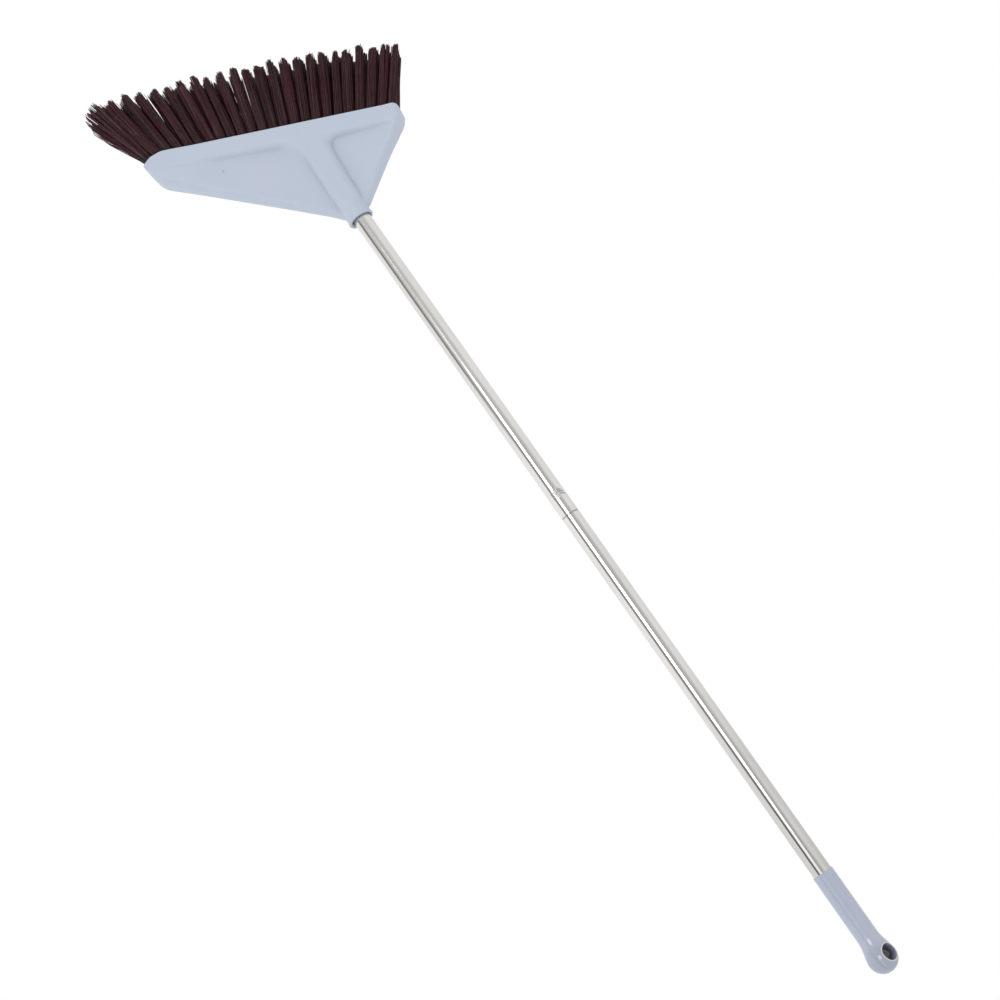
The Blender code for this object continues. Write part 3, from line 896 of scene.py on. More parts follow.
@dataclass(frozen=True)
class MouldedPlastic:
    """Satin moulded plastic with a soft grain, flow marks, rubbed edges, and dust and painted shade in its
    hollows.

    Attributes:
        name: the material's name.
        colour: the plastic's colour.
        drift: the colour that it drifts to in patches.
        roughness: the lowest and highest roughness.
        grain: the depth of the grain in millimetres.
        broad: the share of broad ripple in that depth.
        gloss: the weight of the gloss over it.
        scratched: how much roughness the hairline scratches add.
        speck: the place of a small dark gate mark, or None.
        hole: the hole's painted shade and rim highlight, or None.
        painted_shade_span: the two heights between which painted shade darkens it more and more, or None.
        painted_shade_share: how much it darkens there.
        speck_reach: how far from its middle the gate mark starts and is full.
        speck_share: how dark the gate mark is.
        rubbed: the factor and the lift of the colour on rubbed edges.
        grime_and_shade_factor: the factor of the darker colour for grime, the gate mark and painted shade.
    """

    name: str
    colour: tuple
    drift: tuple
    roughness: tuple
    grain: float
    broad: float
    gloss: float = 0.0
    scratched: float = 0.25
    speck: tuple | None = None
    hole: HoleShade | None = None
    painted_shade_span: tuple | None = None
    painted_shade_share: float = 0.34
    speck_reach: tuple = (1.9, 0.9)
    speck_share: float = 0.55
    rubbed: tuple = (1.18, 0.02)
    grime_and_shade_factor: float = 0.55

    def make(self) -> Finish:
        """Makes the material."""
        material, sheet, shader = start_material(
            self.name, IOR=1.48, Coat_Weight=self.gloss, Coat_Roughness=0.05)
        place = sheet.place()
        colour, patches = sheet.group(Effects.MOTTLE, place, Scale=22.0, First=self.colour,
                                      Second=self.drift)
        scratches = sheet.group(Effects.SCRATCHES, sheet.stretched(place, turn=(0.3, 0.8, 0.2)),
                                Scale=500.0, Length=0.05, Patches=28.0, Amount=self.scratched)
        rough = sheet.total(sheet.ranged(patches, WHOLE, self.roughness), *scratches)
        grain, = sheet.group(Effects.GRAIN, place, Fine_Scale=2600.0, Broad_Scale=110.0,
                             Broad_Share=self.broad)
        coat(sheet, shader, self.painted(sheet, place, colour), rough, grain, self.grain)
        return material

    def painted(self, sheet: Sheet, place: Socket, colour: object) -> Socket:
        """Paints use, marks and painted shade over the plastic's own colour.

        Args:
            sheet: the material's sheet.
            place: the piece's own coordinates.
            colour: the plastic's colour.

        Returns:
            The colour with its wear, dust and painted shade in hollows, gate mark, painted shade over a span
            of heights, and the hole's painted shade and highlight.
        """
        grime_and_shade = tinted(self.colour, self.grime_and_shade_factor)
        wear, = sheet.group(Effects.WEAR, place, Scale=260.0, Amount=0.22)
        # The hollows' mask darkens the plastic: settled dust and painted shade in its creases.
        dust, = sheet.group(Effects.DUST_AND_SHADE, place, Scale=140.0, Amount=0.3)
        colour = sheet.mixed(wear, colour, tinted(self.colour, *self.rubbed))
        colour = sheet.mixed(dust, colour, grime_and_shade)
        if self.speck:
            gap = sheet.measured("DISTANCE", place, metres(self.speck))
            mark = sheet.ranged(gap, metres(self.speck_reach), (0.0, self.speck_share))
            colour = sheet.mixed(mark, colour, grime_and_shade)
        # Painted shade: the plastic grows darker towards the top of the span of heights.
        if self.painted_shade_span:
            painted_shade = sheet.ranged(sheet.axis(place, 2), metres(self.painted_shade_span), (0.0, self.painted_shade_share))
            colour = sheet.mixed(painted_shade, colour, grime_and_shade)
        return self.hole.painted(sheet, place, colour) if self.hole else colour


@dataclass(frozen=True)
class PolishedSteel:
    """Polished stainless tube with drawing lines along it, hairlines, faint smears and punched marks, which
    are darkened as painted shade.

    Attributes:
        dented: the mesh's number that tells how deep a punched mark is, and so how much painted shade darkens
            it.
        rubbed: the mesh's number that tells how rubbed the steel is.
    """

    name: str = "polished_tube_steel"
    colour: tuple = (0.83, 0.815, 0.79, 1.0)
    smear: tuple = (0.76, 0.745, 0.715, 1.0)
    grime_and_shade: tuple = (0.33, 0.32, 0.315, 1.0)
    roughness: tuple = (0.07, 0.13)
    grain: float = 0.004
    dented: str = "dent_painted_shade"
    dent_share: float = 0.8
    dent_rough: float = 0.4
    rubbed: str = "rubbed_patch"
    rub_rough: float = 0.34

    def make(self) -> Finish:
        """Makes the material."""
        material, sheet, shader = start_material(self.name, Metallic=1.0)
        place = sheet.place()
        plain, smears = sheet.group(Effects.MOTTLE, sheet.stretched(place, (1.0, 1.0, 0.12)), Scale=60.0,
                                    First=self.colour, Second=self.smear)
        lines = sheet.group(Effects.SCRATCHES, place, Scale=1500.0, Length=0.004, Patches=30.0, Amount=0.10)
        dented, rubbed = sheet.attribute(self.dented), sheet.attribute(self.rubbed)
        # Painted shade: punched marks are darkened by their depth.
        colour = sheet.mixed(sheet.product(dented, self.dent_share), plain, self.grime_and_shade)
        rough = sheet.total(sheet.ranged(smears, WHOLE, self.roughness),
                            sheet.product(dented, self.dent_rough),
                            sheet.product(rubbed, self.rub_rough), *lines)
        drawn, = sheet.group(Effects.GRAIN, sheet.stretched(place, (1.0, 1.0, 0.01)), Fine_Scale=1200.0,
                             Broad_Scale=120.0, Broad_Share=0.35)
        coat(sheet, shader, colour, rough, drawn, self.grain)
        return material


@dataclass(frozen=True)
class BristleFilament:
    """Dark maroon filament, each a little lighter or darker than the next, with a dull gloss along it.

    Attributes:
        tint: the mesh's number that tells how light a filament is, lowered at its root as painted shade.
    """

    name: str = "maroon_filament"
    dark: tuple = (0.016, 0.0020, 0.0038, 1.0)
    light: tuple = (0.071, 0.0105, 0.0175, 1.0)
    dust: tuple = (0.16, 0.13, 0.13, 1.0)
    dusty: float = 0.06
    roughness: tuple = (0.30, 0.52)
    grain: float = 0.03
    tint: str = "filament_tint"
    tint_share: float = 0.75
    streak_share: float = 0.35

    def make(self) -> Finish:
        """Makes the material."""
        material, sheet, shader = start_material(self.name, IOR=1.46)
        place = sheet.place()
        streaks = sheet.noise(place, 420.0, Detail=3.0, Roughness=0.6)
        share = sheet.total(sheet.product(sheet.attribute(self.tint), self.tint_share),
                            sheet.product(streaks, self.streak_share))
        share.node.use_clamp = True
        dust = sheet.group(Effects.MOTTLE, place, Scale=160.0, First=shade(0.0), Second=shade(1.0))[1]
        colour = sheet.mixed(share, self.dark, self.light)
        colour = sheet.mixed(sheet.product(dust, self.dusty), colour, self.dust)
        rough = sheet.ranged(streaks, (0.3, 0.7), self.roughness)
        grain, = sheet.group(Effects.GRAIN, place, Fine_Scale=3000.0, Broad_Scale=700.0, Broad_Share=0.5)
        coat(sheet, shader, colour, rough, grain, self.grain)
        return material


@dataclass(frozen=True)
class DullPolymer:
    """A plain working plastic or rubber for pieces inside, with mould grain, mottle and rubbed edges."""

    name: str
    colour: tuple
    drift: tuple
    roughness: tuple = (0.4, 0.6)
    grain: float = 0.03
    rubbed: tuple = (1.25, 0.03)

    def make(self) -> Finish:
        """Makes the material."""
        material, sheet, shader = start_material(self.name, IOR=1.5)
        place = sheet.place()
        colour, patches = sheet.group(Effects.MOTTLE, place, Scale=90.0, First=self.colour,
                                      Second=self.drift)
        wear, = sheet.group(Effects.WEAR, place, Scale=400.0, Amount=0.4)
        grain, = sheet.group(Effects.GRAIN, place, Fine_Scale=1800.0, Broad_Scale=300.0, Broad_Share=0.4)
        coat(sheet, shader, sheet.mixed(wear, colour, tinted(self.colour, *self.rubbed)),
             sheet.ranged(patches, WHOLE, self.roughness), grain, self.grain)
        return material


@dataclass(frozen=True)
class StudioWhite:
    """The floor's plain white, which the camera sees without shade."""

    name: str = "studio_floor_white"
    tone: float = 0.85
    drift: float = 0.01

    def make(self) -> Finish:
        """Makes the material."""
        material, sheet, shader = start_material(self.name, Roughness=0.9)
        colour = sheet.group(Effects.MOTTLE, sheet.place(), Scale=3.0, First=shade(self.tone),
                             Second=shade(self.tone - self.drift))[0]
        sheet.feed(shader.inputs["Base Color"], colour)
        glow = sheet.node("Emission", Color=shade(1.0), Strength=1.0).outputs[0]
        seen = sheet.node("LightPath").outputs["Is Camera Ray"]
        mix = sheet.node("MixShader")
        for socket, value in zip(mix.inputs, (seen, shader.outputs[0], glow)):
            sheet.feed(socket, value)
        sheet.feed(material.node_tree.nodes["Material Output"].inputs["Surface"], mix.outputs[0])
        return material


# The broom


@dataclass
class HeadShell:
    """The moulded head: flat web, thick bar along the mouth, round stem and the socket's rim.

    Lengths run along the mouth from the handle's axis, rises are measured from the mouth line, and heights
    run up the handle's axis from there. A span is the pair of places between which something changes.

    Attributes:
        corners: the outline's (along, rise, radius) corners.
        lip_line: places along the mouth, and the rise of the mouth's lip there.
        long_panel: half the web's thickness on the stem's long side, and how it grows along and up.
        short_panel: the same on its short side.
        nose_swell: how much thicker the web grows towards the long end, and between which places.
        end_swell: the same towards the short end.
        taper_limits: how far the bar's taper runs up, and how far the stem's does.
        saddle: the place, rise and reach of the wide fillet between bar and stem.
        bore_bevel: the height at which the bore starts to widen, and how fast it does.
        room: the lowest and the highest corner of the room that holds the head.
    """

    slope: float = 25.8
    mouth_height: float = -1019.1
    set_back: float = 2.1
    corners: tuple = (
        (-111.3, 0.0, 8.0), (151.0, 0.0, 24.0), (163.5, 4.6, 14.0), (171.6, 12.9, 2.5), (160.0, 32.5, 29.0),
        (-19.8, 104.7, 30.0), (-41.2, 114.8, 4.0), (-63.8, 100.4, 2.0), (-109.7, 15.0, 18.0),
    )
    lip_line: tuple = ((151.0, 163.5, 171.4), (0.0, 4.6, 12.8))
    long_panel: tuple = (7.2, 0.0359, -0.0076)
    short_panel: tuple = (5.9, -0.0668, -0.0389)
    panel_blend: float = 8.0
    nose_swell: tuple = (3.2, 82.0, 140.0)
    end_swell: tuple = (2.4, -84.0, -106.0)
    swell_span: tuple = (20.0, 60.0)
    edge_radius: float = 6.5
    edge_gap: float = 0.4
    bar_half: float = 15.2
    bar_taper: float = 0.035
    bar_depth: float = 22.4
    bar_edge: float = 6.8
    bar_corner: float = 2.0
    end_edge: float = 4.2
    end_span: tuple = (96.0, 108.0)
    web_end_span: tuple = (84.0, 104.0)
    lip_radius: float = 1.0
    lip_span: tuple = (1.0, 10.0)
    web_lip_span: tuple = (1.0, 12.0)
    end_lip_span: tuple = (1.0, 8.0)
    stem_half: float = 15.7
    stem_taper: float = 0.0293
    stem_depth: float = 14.0
    stem_edge: float = 7.5
    stem_foot: float = 8.0
    stem_offset: float = -2.4
    stem_straight: tuple = (35.0, 98.0)
    stem_span: tuple = (14.0, 45.0)
    stem_edge_span: tuple = (20.0, 45.0)
    taper_limits: tuple = (30.0, 80.0)
    neck_radius: float = 13.6
    neck_span: tuple = (98.0, 119.0)
    neck_shift: tuple = (114.0, 123.0)
    crease_width: float = 1.6
    saddle_width: float = 10.0
    saddle: tuple = (3.0, 26.0, 12.0)
    long_fillet: float = 22.0
    short_fillet: float = 15.0
    fillet_blend: float = 6.0
    rim_radius: float = 14.1
    rim_middle: float = 125.8
    rim_half: float = 1.7
    rim_edge: float = 0.6
    rim_fillet: float = 0.7
    rim_shift: float = 0.9
    bore_radius: float = 10.3
    bore_shift: float = 0.6
    bore_span: tuple = (95.0, 122.0)
    bore_bevel: tuple = (125.0, 0.55)
    shoulder: float = 67.5
    thread_radius: float = 8.6
    thread_end: float = 43.0
    trough_half: float = 12.6
    trough_depth: float = 17.5
    trough_start: float = -106.2
    trough_end: float = 164.9
    trough_round: float = 5.5
    toe_slope: float = 0.5568
    hollow_edge: float = 0.8
    room: tuple = ((-115.5, -17.6, -2.0), (176.0, 17.6, 125.5))
    cell: float = 0.95
    outline: list = field(init=False)

    def __post_init__(self) -> None:
        """Rounds the outline's corners."""
        self.outline = rounded_corners(self.corners)

    def place(self) -> Matrix:
        """Returns the head's frame in the part, in metres."""
        turn = Matrix.Rotation(math.radians(self.slope), 4, "Y")
        return Matrix.Translation((0, 0, self.mouth_height * MM)) @ turn

    def upright(self, along: Array, rise: Array) -> tuple[Array, Array]:
        """Returns how far a place lies beside the handle's axis and above the mouth line on it."""
        turn = math.radians(self.slope)
        return along * math.cos(turn) + rise * math.sin(turn), rise * math.cos(turn) - along * math.sin(turn)

    def panel(self, along: Array, beside: Array, rise: Array) -> Array:
        """Measures the web, which is one plane on each side of the stem.

        Args:
            along: the place along the outline.
            beside: how far it lies beside the handle's axis.
            rise: the height over the mouth line.

        Returns:
            Half the web's thickness.
        """
        long_side, short_side = (base + slope * along + fall * rise
                                 for base, slope, fall in (self.long_panel, self.short_panel))
        flat = changed(short_side, long_side, eased(beside, -self.panel_blend, self.panel_blend))
        low = 1.0 - eased(rise, *self.swell_span)
        for swell, start, end in (self.nose_swell, self.end_swell):
            flat = flat + swell * low * eased(along, start, end)
        return flat

    def ridge(self, edge: Array, along: Array, depth: Array, rise: Array, lip: Array) -> Array:
        """Measures the bar along the mouth and the stem that rises from it.

        Args:
            edge: the distance from the outline.
            along: the place along the mouth from the handle's axis.
            depth: the distance from the middle plane.
            rise: the height over the mouth line.
            lip: the height over the mouth's own lip.

        Returns:
            The distance from both.
        """
        beside, height = self.upright(along, rise)
        neck = eased(height, *self.neck_span)
        bar_limit, stem_limit = self.taper_limits
        wide = self.stem_half - self.stem_taper * np.clip(height - self.stem_straight[0], 0.0, stem_limit)
        stem = changed(wide, self.neck_radius, neck)
        centre = (self.stem_offset * (1.0 - eased(height, *self.stem_straight))
                  + self.rim_shift * eased(height, *self.neck_shift))
        bar = -blended(self.bar_depth - rise, -edge, self.bar_corner)
        upright = np.maximum(np.abs(beside - centre) - stem, self.stem_foot - rise)
        fillet = changed(self.short_fillet, self.long_fillet,
                         eased(beside, -self.fillet_blend, self.fillet_blend))
        flat = np.maximum(blended(bar, upright, fillet), -rise)
        radius = changed(self.bar_edge, self.end_edge, eased(-along, *self.end_span))
        radius = changed(self.lip_radius, radius, eased(lip, *self.lip_span))
        radius = changed(radius, self.stem_edge, eased(rise, *self.stem_edge_span))
        radius = changed(radius, stem, neck)
        half = self.bar_half - self.bar_taper * np.clip(rise, 0.0, bar_limit)
        half = changed(half, self.stem_depth, eased(rise, *self.stem_span))
        half = changed(half, self.neck_radius, neck)
        return np.maximum(pressed(flat, depth - half, radius), height - self.rim_middle)

    def web(self, edge: Array, there: Array, depth: Array, beside: Array, rise: Array, lip: Array) -> Array:
        """Measures the web with its rounded edge.

        Args:
            edge: the distance from the outline.
            there: the place along the outline.
            depth: the distance from the middle plane.
            beside: how far the place lies beside the handle's axis.
            rise: the height over the mouth line.
            lip: the height over the mouth's own lip.

        Returns:
            The distance from the web.
        """
        panel = self.panel(there, beside, rise)
        soft = changed(self.lip_radius, self.edge_radius, eased(lip, *self.web_lip_span))
        end = eased(-there, *self.web_end_span) * eased(lip, *self.end_lip_span)
        soft = changed(soft, self.end_edge, end)
        return pressed(edge, depth - panel, np.minimum(soft, panel - self.edge_gap))

    def body(self, along: Array, deep: Array, rise: Array) -> Array:
        """Measures the head before its hollows are cut.

        Args:
            along: the place along the mouth from the handle's axis.
            deep: the place across the mouth.
            rise: the height over the mouth line.

        Returns:
            The distance from the solid head.
        """
        depth = np.abs(deep)
        beside, height = self.upright(along, rise)
        there = along + self.set_back
        edge = outline_distance(there, rise, self.outline)
        lip = rise - np.interp(there, *self.lip_line)
        rim = pressed(np.hypot(beside - self.rim_shift, deep) - self.rim_radius,
                      np.abs(height - self.rim_middle) - self.rim_half, self.rim_edge)
        middle, above, reach = self.saddle
        gap = ((along - middle) / reach) ** 2 + ((rise - above) / reach) ** 2
        crease = self.crease_width + self.saddle_width * np.exp(-gap)
        shell = blended(self.web(edge, there, depth, beside, rise, lip),
                        self.ridge(edge, along, depth, rise, lip), crease)
        return blended(shell, rim, self.rim_fillet)

    def form(self, along: Array, deep: Array, rise: Array) -> Array:
        """Measures the finished head.

        Args:
            along: the place along the mouth from the handle's axis.
            deep: the place across the mouth.
            rise: the height over the mouth line.

        Returns:
            The distance from the head, with its trough, bore and thread cut.
        """
        beside, height = self.upright(along, rise)
        there = along + self.set_back
        end = there - self.trough_end - self.toe_slope * (self.trough_depth - rise)
        ends = np.maximum(self.trough_start - there, end / math.hypot(1, self.toe_slope))
        roof = pressed(ends, rise - self.trough_depth, self.trough_round)
        trough = pressed(np.maximum(roof, rise - self.trough_depth), np.abs(deep) - self.trough_half,
                         self.trough_round)
        start, flare = self.bore_bevel
        shift = self.bore_shift * eased(height, *self.bore_span)
        wide = self.bore_radius + flare * np.maximum(height - start, 0.0)
        bore = np.maximum(np.hypot(beside - shift, deep) - wide, self.shoulder - height)
        thread = np.maximum(np.hypot(beside, deep) - self.thread_radius, self.thread_end - height)
        hollow = np.minimum(trough, np.minimum(bore, thread))
        return cut_away(self.body(along, deep, rise), hollow, self.hollow_edge)

    def build(self, finish: Finish) -> Piece:
        """Builds the head as one piece.

        Args:
            finish: the moulded plastic.

        Returns:
            The head, in place of its CAD node.
        """
        piece = Net(self.form, *self.room, self.cell).piece("head_moulding", self.place())
        return dressed(piece, finish, Body.HEAD, Slot.MOULDED, "head_shell")


def drawn_out(strand: Array, first: Array, last: Array, bend: Array, turn: float, wide: float) -> Array:
    """Draws a modelled filament out between two ends.

    Args:
        strand: its points as (across, deep, share along).
        first: where its root is.
        last: where its tip is.
        bend: how far its middle bows along and across the mouth.
        turn: how far it is turned about itself.
        wide: its radius.

    Returns:
        The points in their place.
    """
    run = strand[:, 2]
    centre = first + (last - first) * run[:, None]
    centre[:, :2] += (4 * run * (1 - run))[:, None] * bend
    way = (last - first) / np.linalg.norm(last - first)
    cross = np.cross(way, (0.0, 1.0, 0.0))
    cross /= np.linalg.norm(cross)
    local = strand[:, :2] * wide
    x = local[:, 0] * math.cos(turn) - local[:, 1] * math.sin(turn)
    y = local[:, 0] * math.sin(turn) + local[:, 1] * math.cos(turn)
    return centre + x[:, None] * cross + y[:, None] * np.cross(cross, way)


@dataclass
class TuftedBlock:
    """The backing in the trough, and its tufts of filaments in slices that stand for the CAD's.

    Shares run from -1 at the block's short end to 1 at its long end. Each tuft has bundles of filaments side
    by side, which end at different lengths, and a few strays that stand out of them.

    Attributes:
        strand_rings: the rise and the narrowing of each ring of the modelled filament.
        bundle_ring: where in a tuft, as a share of its radius, bundles start to part and have parted.
        root_radius: a tuft's radius at its root, along and across the mouth.
        tip_radius: the same at its tip.
        lean_curve: the middle tuft's lean, and what the share adds, its square towards the short and towards
            the long end, and its fifth power towards the long end.
        reach_curve: what the share's square takes off the length towards the short and towards the long end,
            and what its eighth power adds towards the long end.
        end_share: the share past which tufts splay, and how much further on they do so fully.
        splay_cut: what a splayed tip's inner side gains in length, and what its outer side loses.
        splay_turn: how much less splayed tufts lean for each millimetre behind the front row.
        tidy_share: the share past which filaments scatter only inwards.
        stagger_span: the share at which rows are fully staggered, and the one past which they aren't.
        fan: how much further apart rows stand at their tips than at their roots.
        bundle_scatter: how much bundles scatter in length and sideways.
        side_scatter: how much filaments scatter sideways: strays, others, and the most of both.
        bow_scatter: how much filaments bow by chance, and how much outwards.
        stray_cut: the share by which strays are shorter, usually and at most.
        painted_root_shade: the share of a filament that is darkened at its root as painted shade, and how
            dark.
    """

    head: HeadShell
    start: float = -106.8
    end: float = 168.3
    backing_end: float = 164.4
    slices: int = 12
    columns: int = 24
    row_depths: tuple = (-9.0, -3.0, 3.0, 9.0)
    top: float = 17.2
    bottom: float = 7.2
    half_depth: float = 12.3
    backing_bevel: float = 1.2
    sunk: float = 2.0
    strand_rings: tuple = ((0.12, 1.0), (0.035, 1.0), (0.25, 0.98), (0.26, 0.95), (0.27, 0.9), (0.055, 0.8))
    strand_lift: float = 0.01
    filaments: int = 70
    strays: int = 18
    bundles: int = 6
    bundle_ring: tuple = (0.35, 0.75)
    root_radius: tuple = (4.5, 3.3)
    tip_radius: tuple = (3.9, 3.4)
    lean_curve: tuple = (11.5, 38.0, 10.0, 5.0, 11.0)
    reach_curve: tuple = (13.0, 6.0, 1.0)
    drop: float = 76.5
    end_share: tuple = (0.84, 0.12)
    splay: float = 7.0
    splay_cut: tuple = (0.45, 0.86)
    splay_turn: float = 0.40
    tidy_share: float = 0.9
    stagger: float = 4.0
    stagger_span: tuple = (0.3, 0.9)
    fan: float = 1.6
    thick: float = 0.42
    thick_range: tuple = (0.85, 1.1)
    splay_thick: float = 0.04
    reach_scatter: float = 1.2
    tip_scatter: float = 0.6
    bundle_scatter: tuple = (3.8, 0.75)
    end_scatter: float = 1.0
    side_scatter: tuple = (2.2, 0.35, 3.5)
    bow_scatter: tuple = (0.45, 0.5)
    stray_cut: tuple = (0.08, 0.3)
    tint_range: tuple = (0.2, 0.6)
    tint_scatter: float = 0.22
    painted_root_shade: tuple = (0.14, 1.2)
    box_gap: float = 0.1
    seed: int = 11

    def share(self, along: float) -> float:
        """Returns a place along the block from -1 at the short end to 1 at the long end."""
        middle = (self.start + self.end) / 2
        return (along - middle) / ((self.end - self.start) / 2)

    def lean(self, share: float) -> float:
        """Returns how far tips lean along the mouth from their roots."""
        middle, growth, *curves, end_curve = self.lean_curve
        return middle + growth * share + curves[share >= 0] * share ** 2 + end_curve * max(share, 0.0) ** 5

    def reach(self, share: float) -> float:
        """Returns how far tips reach below the mouth line."""
        *curves, end_curve = self.reach_curve
        return self.drop - curves[share >= 0] * share ** 2 + end_curve * max(share, 0.0) ** 8

    def strand(self) -> tuple[Array, list]:
        """Models one filament, of unit length and thickness.

        Returns:
            Its points as (across, deep, share along) and its faces.
        """
        bpy.ops.mesh.primitive_circle_add(vertices=5, radius=1.0, fill_type="NGON", location=(0, 0, 0))
        piece = named("strand")
        with editing(piece):
            for rise, narrow in self.strand_rings:
                bpy.ops.mesh.extrude_region_move(TRANSFORM_OT_translate={"value": (0, 0, rise)})
                bpy.ops.transform.resize(value=(narrow, narrow, 1.0))
            bpy.ops.transform.translate(value=(0.0, 0.0, self.strand_lift))
        points = np.array([vert.co for vert in piece.data.vertices], float)
        faces = [list(face.vertices) for face in piece.data.polygons]
        bpy.data.objects.remove(piece)
        return points, faces

    def scattered(self, draw: np.random.Generator, share: float, stray: bool) -> Array:
        """Draws how far a filament's tip lies beside its place in the tuft.

        Args:
            draw: the seeded source of scatter.
            share: the tuft's share along the block.
            stray: whether the filament is a stray.

        Returns:
            The distance along and across the mouth.
        """
        loose, close, most = self.side_scatter
        scatter = np.clip(draw.normal(0.0, loose if stray else close, 2), -most, most)
        if abs(share) > self.tidy_share:
            scatter[0] = -abs(scatter[0]) * math.copysign(1.0, share)
        return scatter

    def tuft(self, draw: np.random.Generator, along: float, depth: float,
             strand: Array) -> tuple[Array, Array]:
        """Makes one tuft's filaments from the modelled one.

        Args:
            draw: the seeded source of scatter.
            along: where the tuft is rooted, along the outline.
            depth: where it is rooted across the mouth.
            strand: the modelled filament's points.

        Returns:
            The points of every filament, and a tint for each point.
        """
        share = self.share(along)
        past = max(abs(share) - self.end_share[0], 0.0)
        flare = self.splay * past / self.end_share[1] * (share > 0)
        behind = depth - self.row_depths[0]
        lean = self.lean(share) - math.copysign(past, share) / self.end_share[1] * behind * self.splay_turn
        reach = self.reach(share) + draw.normal(0.0, self.reach_scatter)
        away = draw.normal(0.0, self.tip_scatter, 2)
        shorter = draw.exponential(self.bundle_scatter[0], self.bundles)
        aside = draw.normal(0.0, self.bundle_scatter[1], (self.bundles, 2))
        base = draw.uniform(*self.tint_range)
        start = along - self.head.set_back
        points, tints = [], []
        for index in range(self.filaments + self.strays):
            stray = index >= self.filaments
            angle, ring = index * GOLDEN_ANGLE, math.sqrt((index % self.filaments + 0.5) / self.filaments)
            side = np.array([math.cos(angle), math.sin(angle)]) * ring
            root = side * self.root_radius
            bundle = int(angle % math.tau / math.tau * self.bundles) % self.bundles
            inner, full = self.bundle_ring
            outer = min(max(ring - inner, 0.0) / (full - inner), 1.0)
            scatter = self.scattered(draw, share, stray)
            tip = side * (self.tip_radius + np.array([flare, 0.0])) + away + aside[bundle] * outer + scatter
            drop = reach - shorter[bundle] * outer - draw.exponential(self.end_scatter)
            gain, loss = self.splay_cut
            drop += flare * (gain * max(-side[0], 0.0) - loss * (side[0] + 1.0) ** 2)
            bend = draw.normal(0.0, self.bow_scatter[0], 2) + side * self.bow_scatter[1]
            first = np.array([start + root[0], depth + root[1], self.bottom + self.sunk])
            last = np.array([start + lean + tip[0], depth * self.fan + tip[1], -drop])
            if stray:
                usual, most = self.stray_cut
                last = first + (last - first) * (1.0 - min(draw.exponential(usual), most))
            turn = draw.uniform(0, math.tau)
            wide = self.thick * draw.uniform(*self.thick_range) * (1.0 + self.splay_thick * flare)
            points.append(drawn_out(strand, first, last, bend, turn, wide))
            tint = np.clip(base + draw.normal(0, self.tint_scatter), 0, 1)
            # Painted shade: each filament is darker at its root.
            tints.append(tint - self.painted_root_shade[1] * (strand[:, 2] < self.painted_root_shade[0]))
        return np.concatenate(points), np.concatenate(tints)

    def columns_of(self, index: int, strand: Array, draw: np.random.Generator) -> tuple[Array, Array]:
        """Makes the tufts of one slice.

        Args:
            index: the slice's number.
            strand: the modelled filament's points.
            draw: the seeded source of scatter.

        Returns:
            The points of every filament, and a tint for each point.
        """
        pitch = (self.end - self.start) / self.columns
        each = self.columns // self.slices
        points, tints = [], []
        for column in range(each * index, each * (index + 1)):
            along = self.start + pitch * (column + 0.5)
            share = self.share(along)
            full, last = self.stagger_span
            shift = self.stagger * min(max(share, 0.0) / full, 1.0) * (share < last)
            for row, depth in enumerate(self.row_depths):
                made, tint = self.tuft(draw, along + shift * (row % 2 - 0.5), depth, strand)
                points.append(made)
                tints.append(tint)
        return np.concatenate(points), np.concatenate(tints)

    def build_slice(self, index: int, strand: tuple[Array, list], draw: np.random.Generator,
                    finish: Finish) -> Piece:
        """Builds the tufts of one slice of the block.

        Args:
            index: the slice's number.
            strand: the modelled filament.
            draw: the seeded source of scatter.
            finish: the filaments' material.

        Returns:
            The slice, in place of its CAD node.
        """
        cloud, tints = self.columns_of(index, strand[0], draw)
        faces = [[vert + start for vert in face]
                 for start in range(0, len(cloud), len(strand[0])) for face in strand[1]]
        piece = new_mesh(f"tufts_{index + 1:02d}", cloud.tolist(), [], faces)
        piece.data.transform(self.head.place())
        low, high = (np.array(corner) for corner in CAD_BOX)
        points = np.array([vert.co for vert in piece.data.vertices])
        held = np.clip(points, low + self.box_gap * MM, high - self.box_gap * MM)
        piece.data.vertices.foreach_set("co", held.astype(np.float32).ravel())
        face_outwards(piece)
        tint = piece.data.attributes.new(BristleFilament.tint, "FLOAT", "POINT")
        tint.data.foreach_set("value", tints.astype(np.float32))
        smooth(piece, 60)
        return dressed(piece, finish, Body.HEAD, Slot.BRISTLE, f"bristles_{index + 1:02d}")

    def build_backing(self, finish: Finish) -> Piece:
        """Builds the backing bar that the tufts are set in.

        Args:
            finish: the backing's plastic.

        Returns:
            The backing, with rounded edges.
        """
        along = (self.start + self.backing_end) / 2 - self.head.set_back
        rise = (self.top + self.bottom) / 2
        bpy.ops.mesh.primitive_cube_add(size=1.0, location=metres((along, 0.0, rise)))
        piece = named("tuft_backing")
        piece.scale = metres((self.backing_end - self.start, 2 * self.half_depth, self.top - self.bottom))
        settle(piece)
        with editing(piece):
            bpy.ops.mesh.bevel(offset=self.backing_bevel * MM, segments=3, affect="EDGES")
        piece.data.transform(self.head.place())
        smooth(piece, 35)
        return dressed(piece, finish, Body.HEAD, Slot.BRISTLE)

    def build(self, filament: Finish, backing: Finish) -> list[Piece]:
        """Builds every slice of tufts and the backing.

        Args:
            filament: the filaments' material.
            backing: the backing's plastic.

        Returns:
            The pieces.
        """
        draw = np.random.default_rng(self.seed)
        strand = self.strand()
        made = [self.build_slice(index, strand, draw, filament) for index in range(self.slices)]
        return [*made, self.build_backing(backing)]


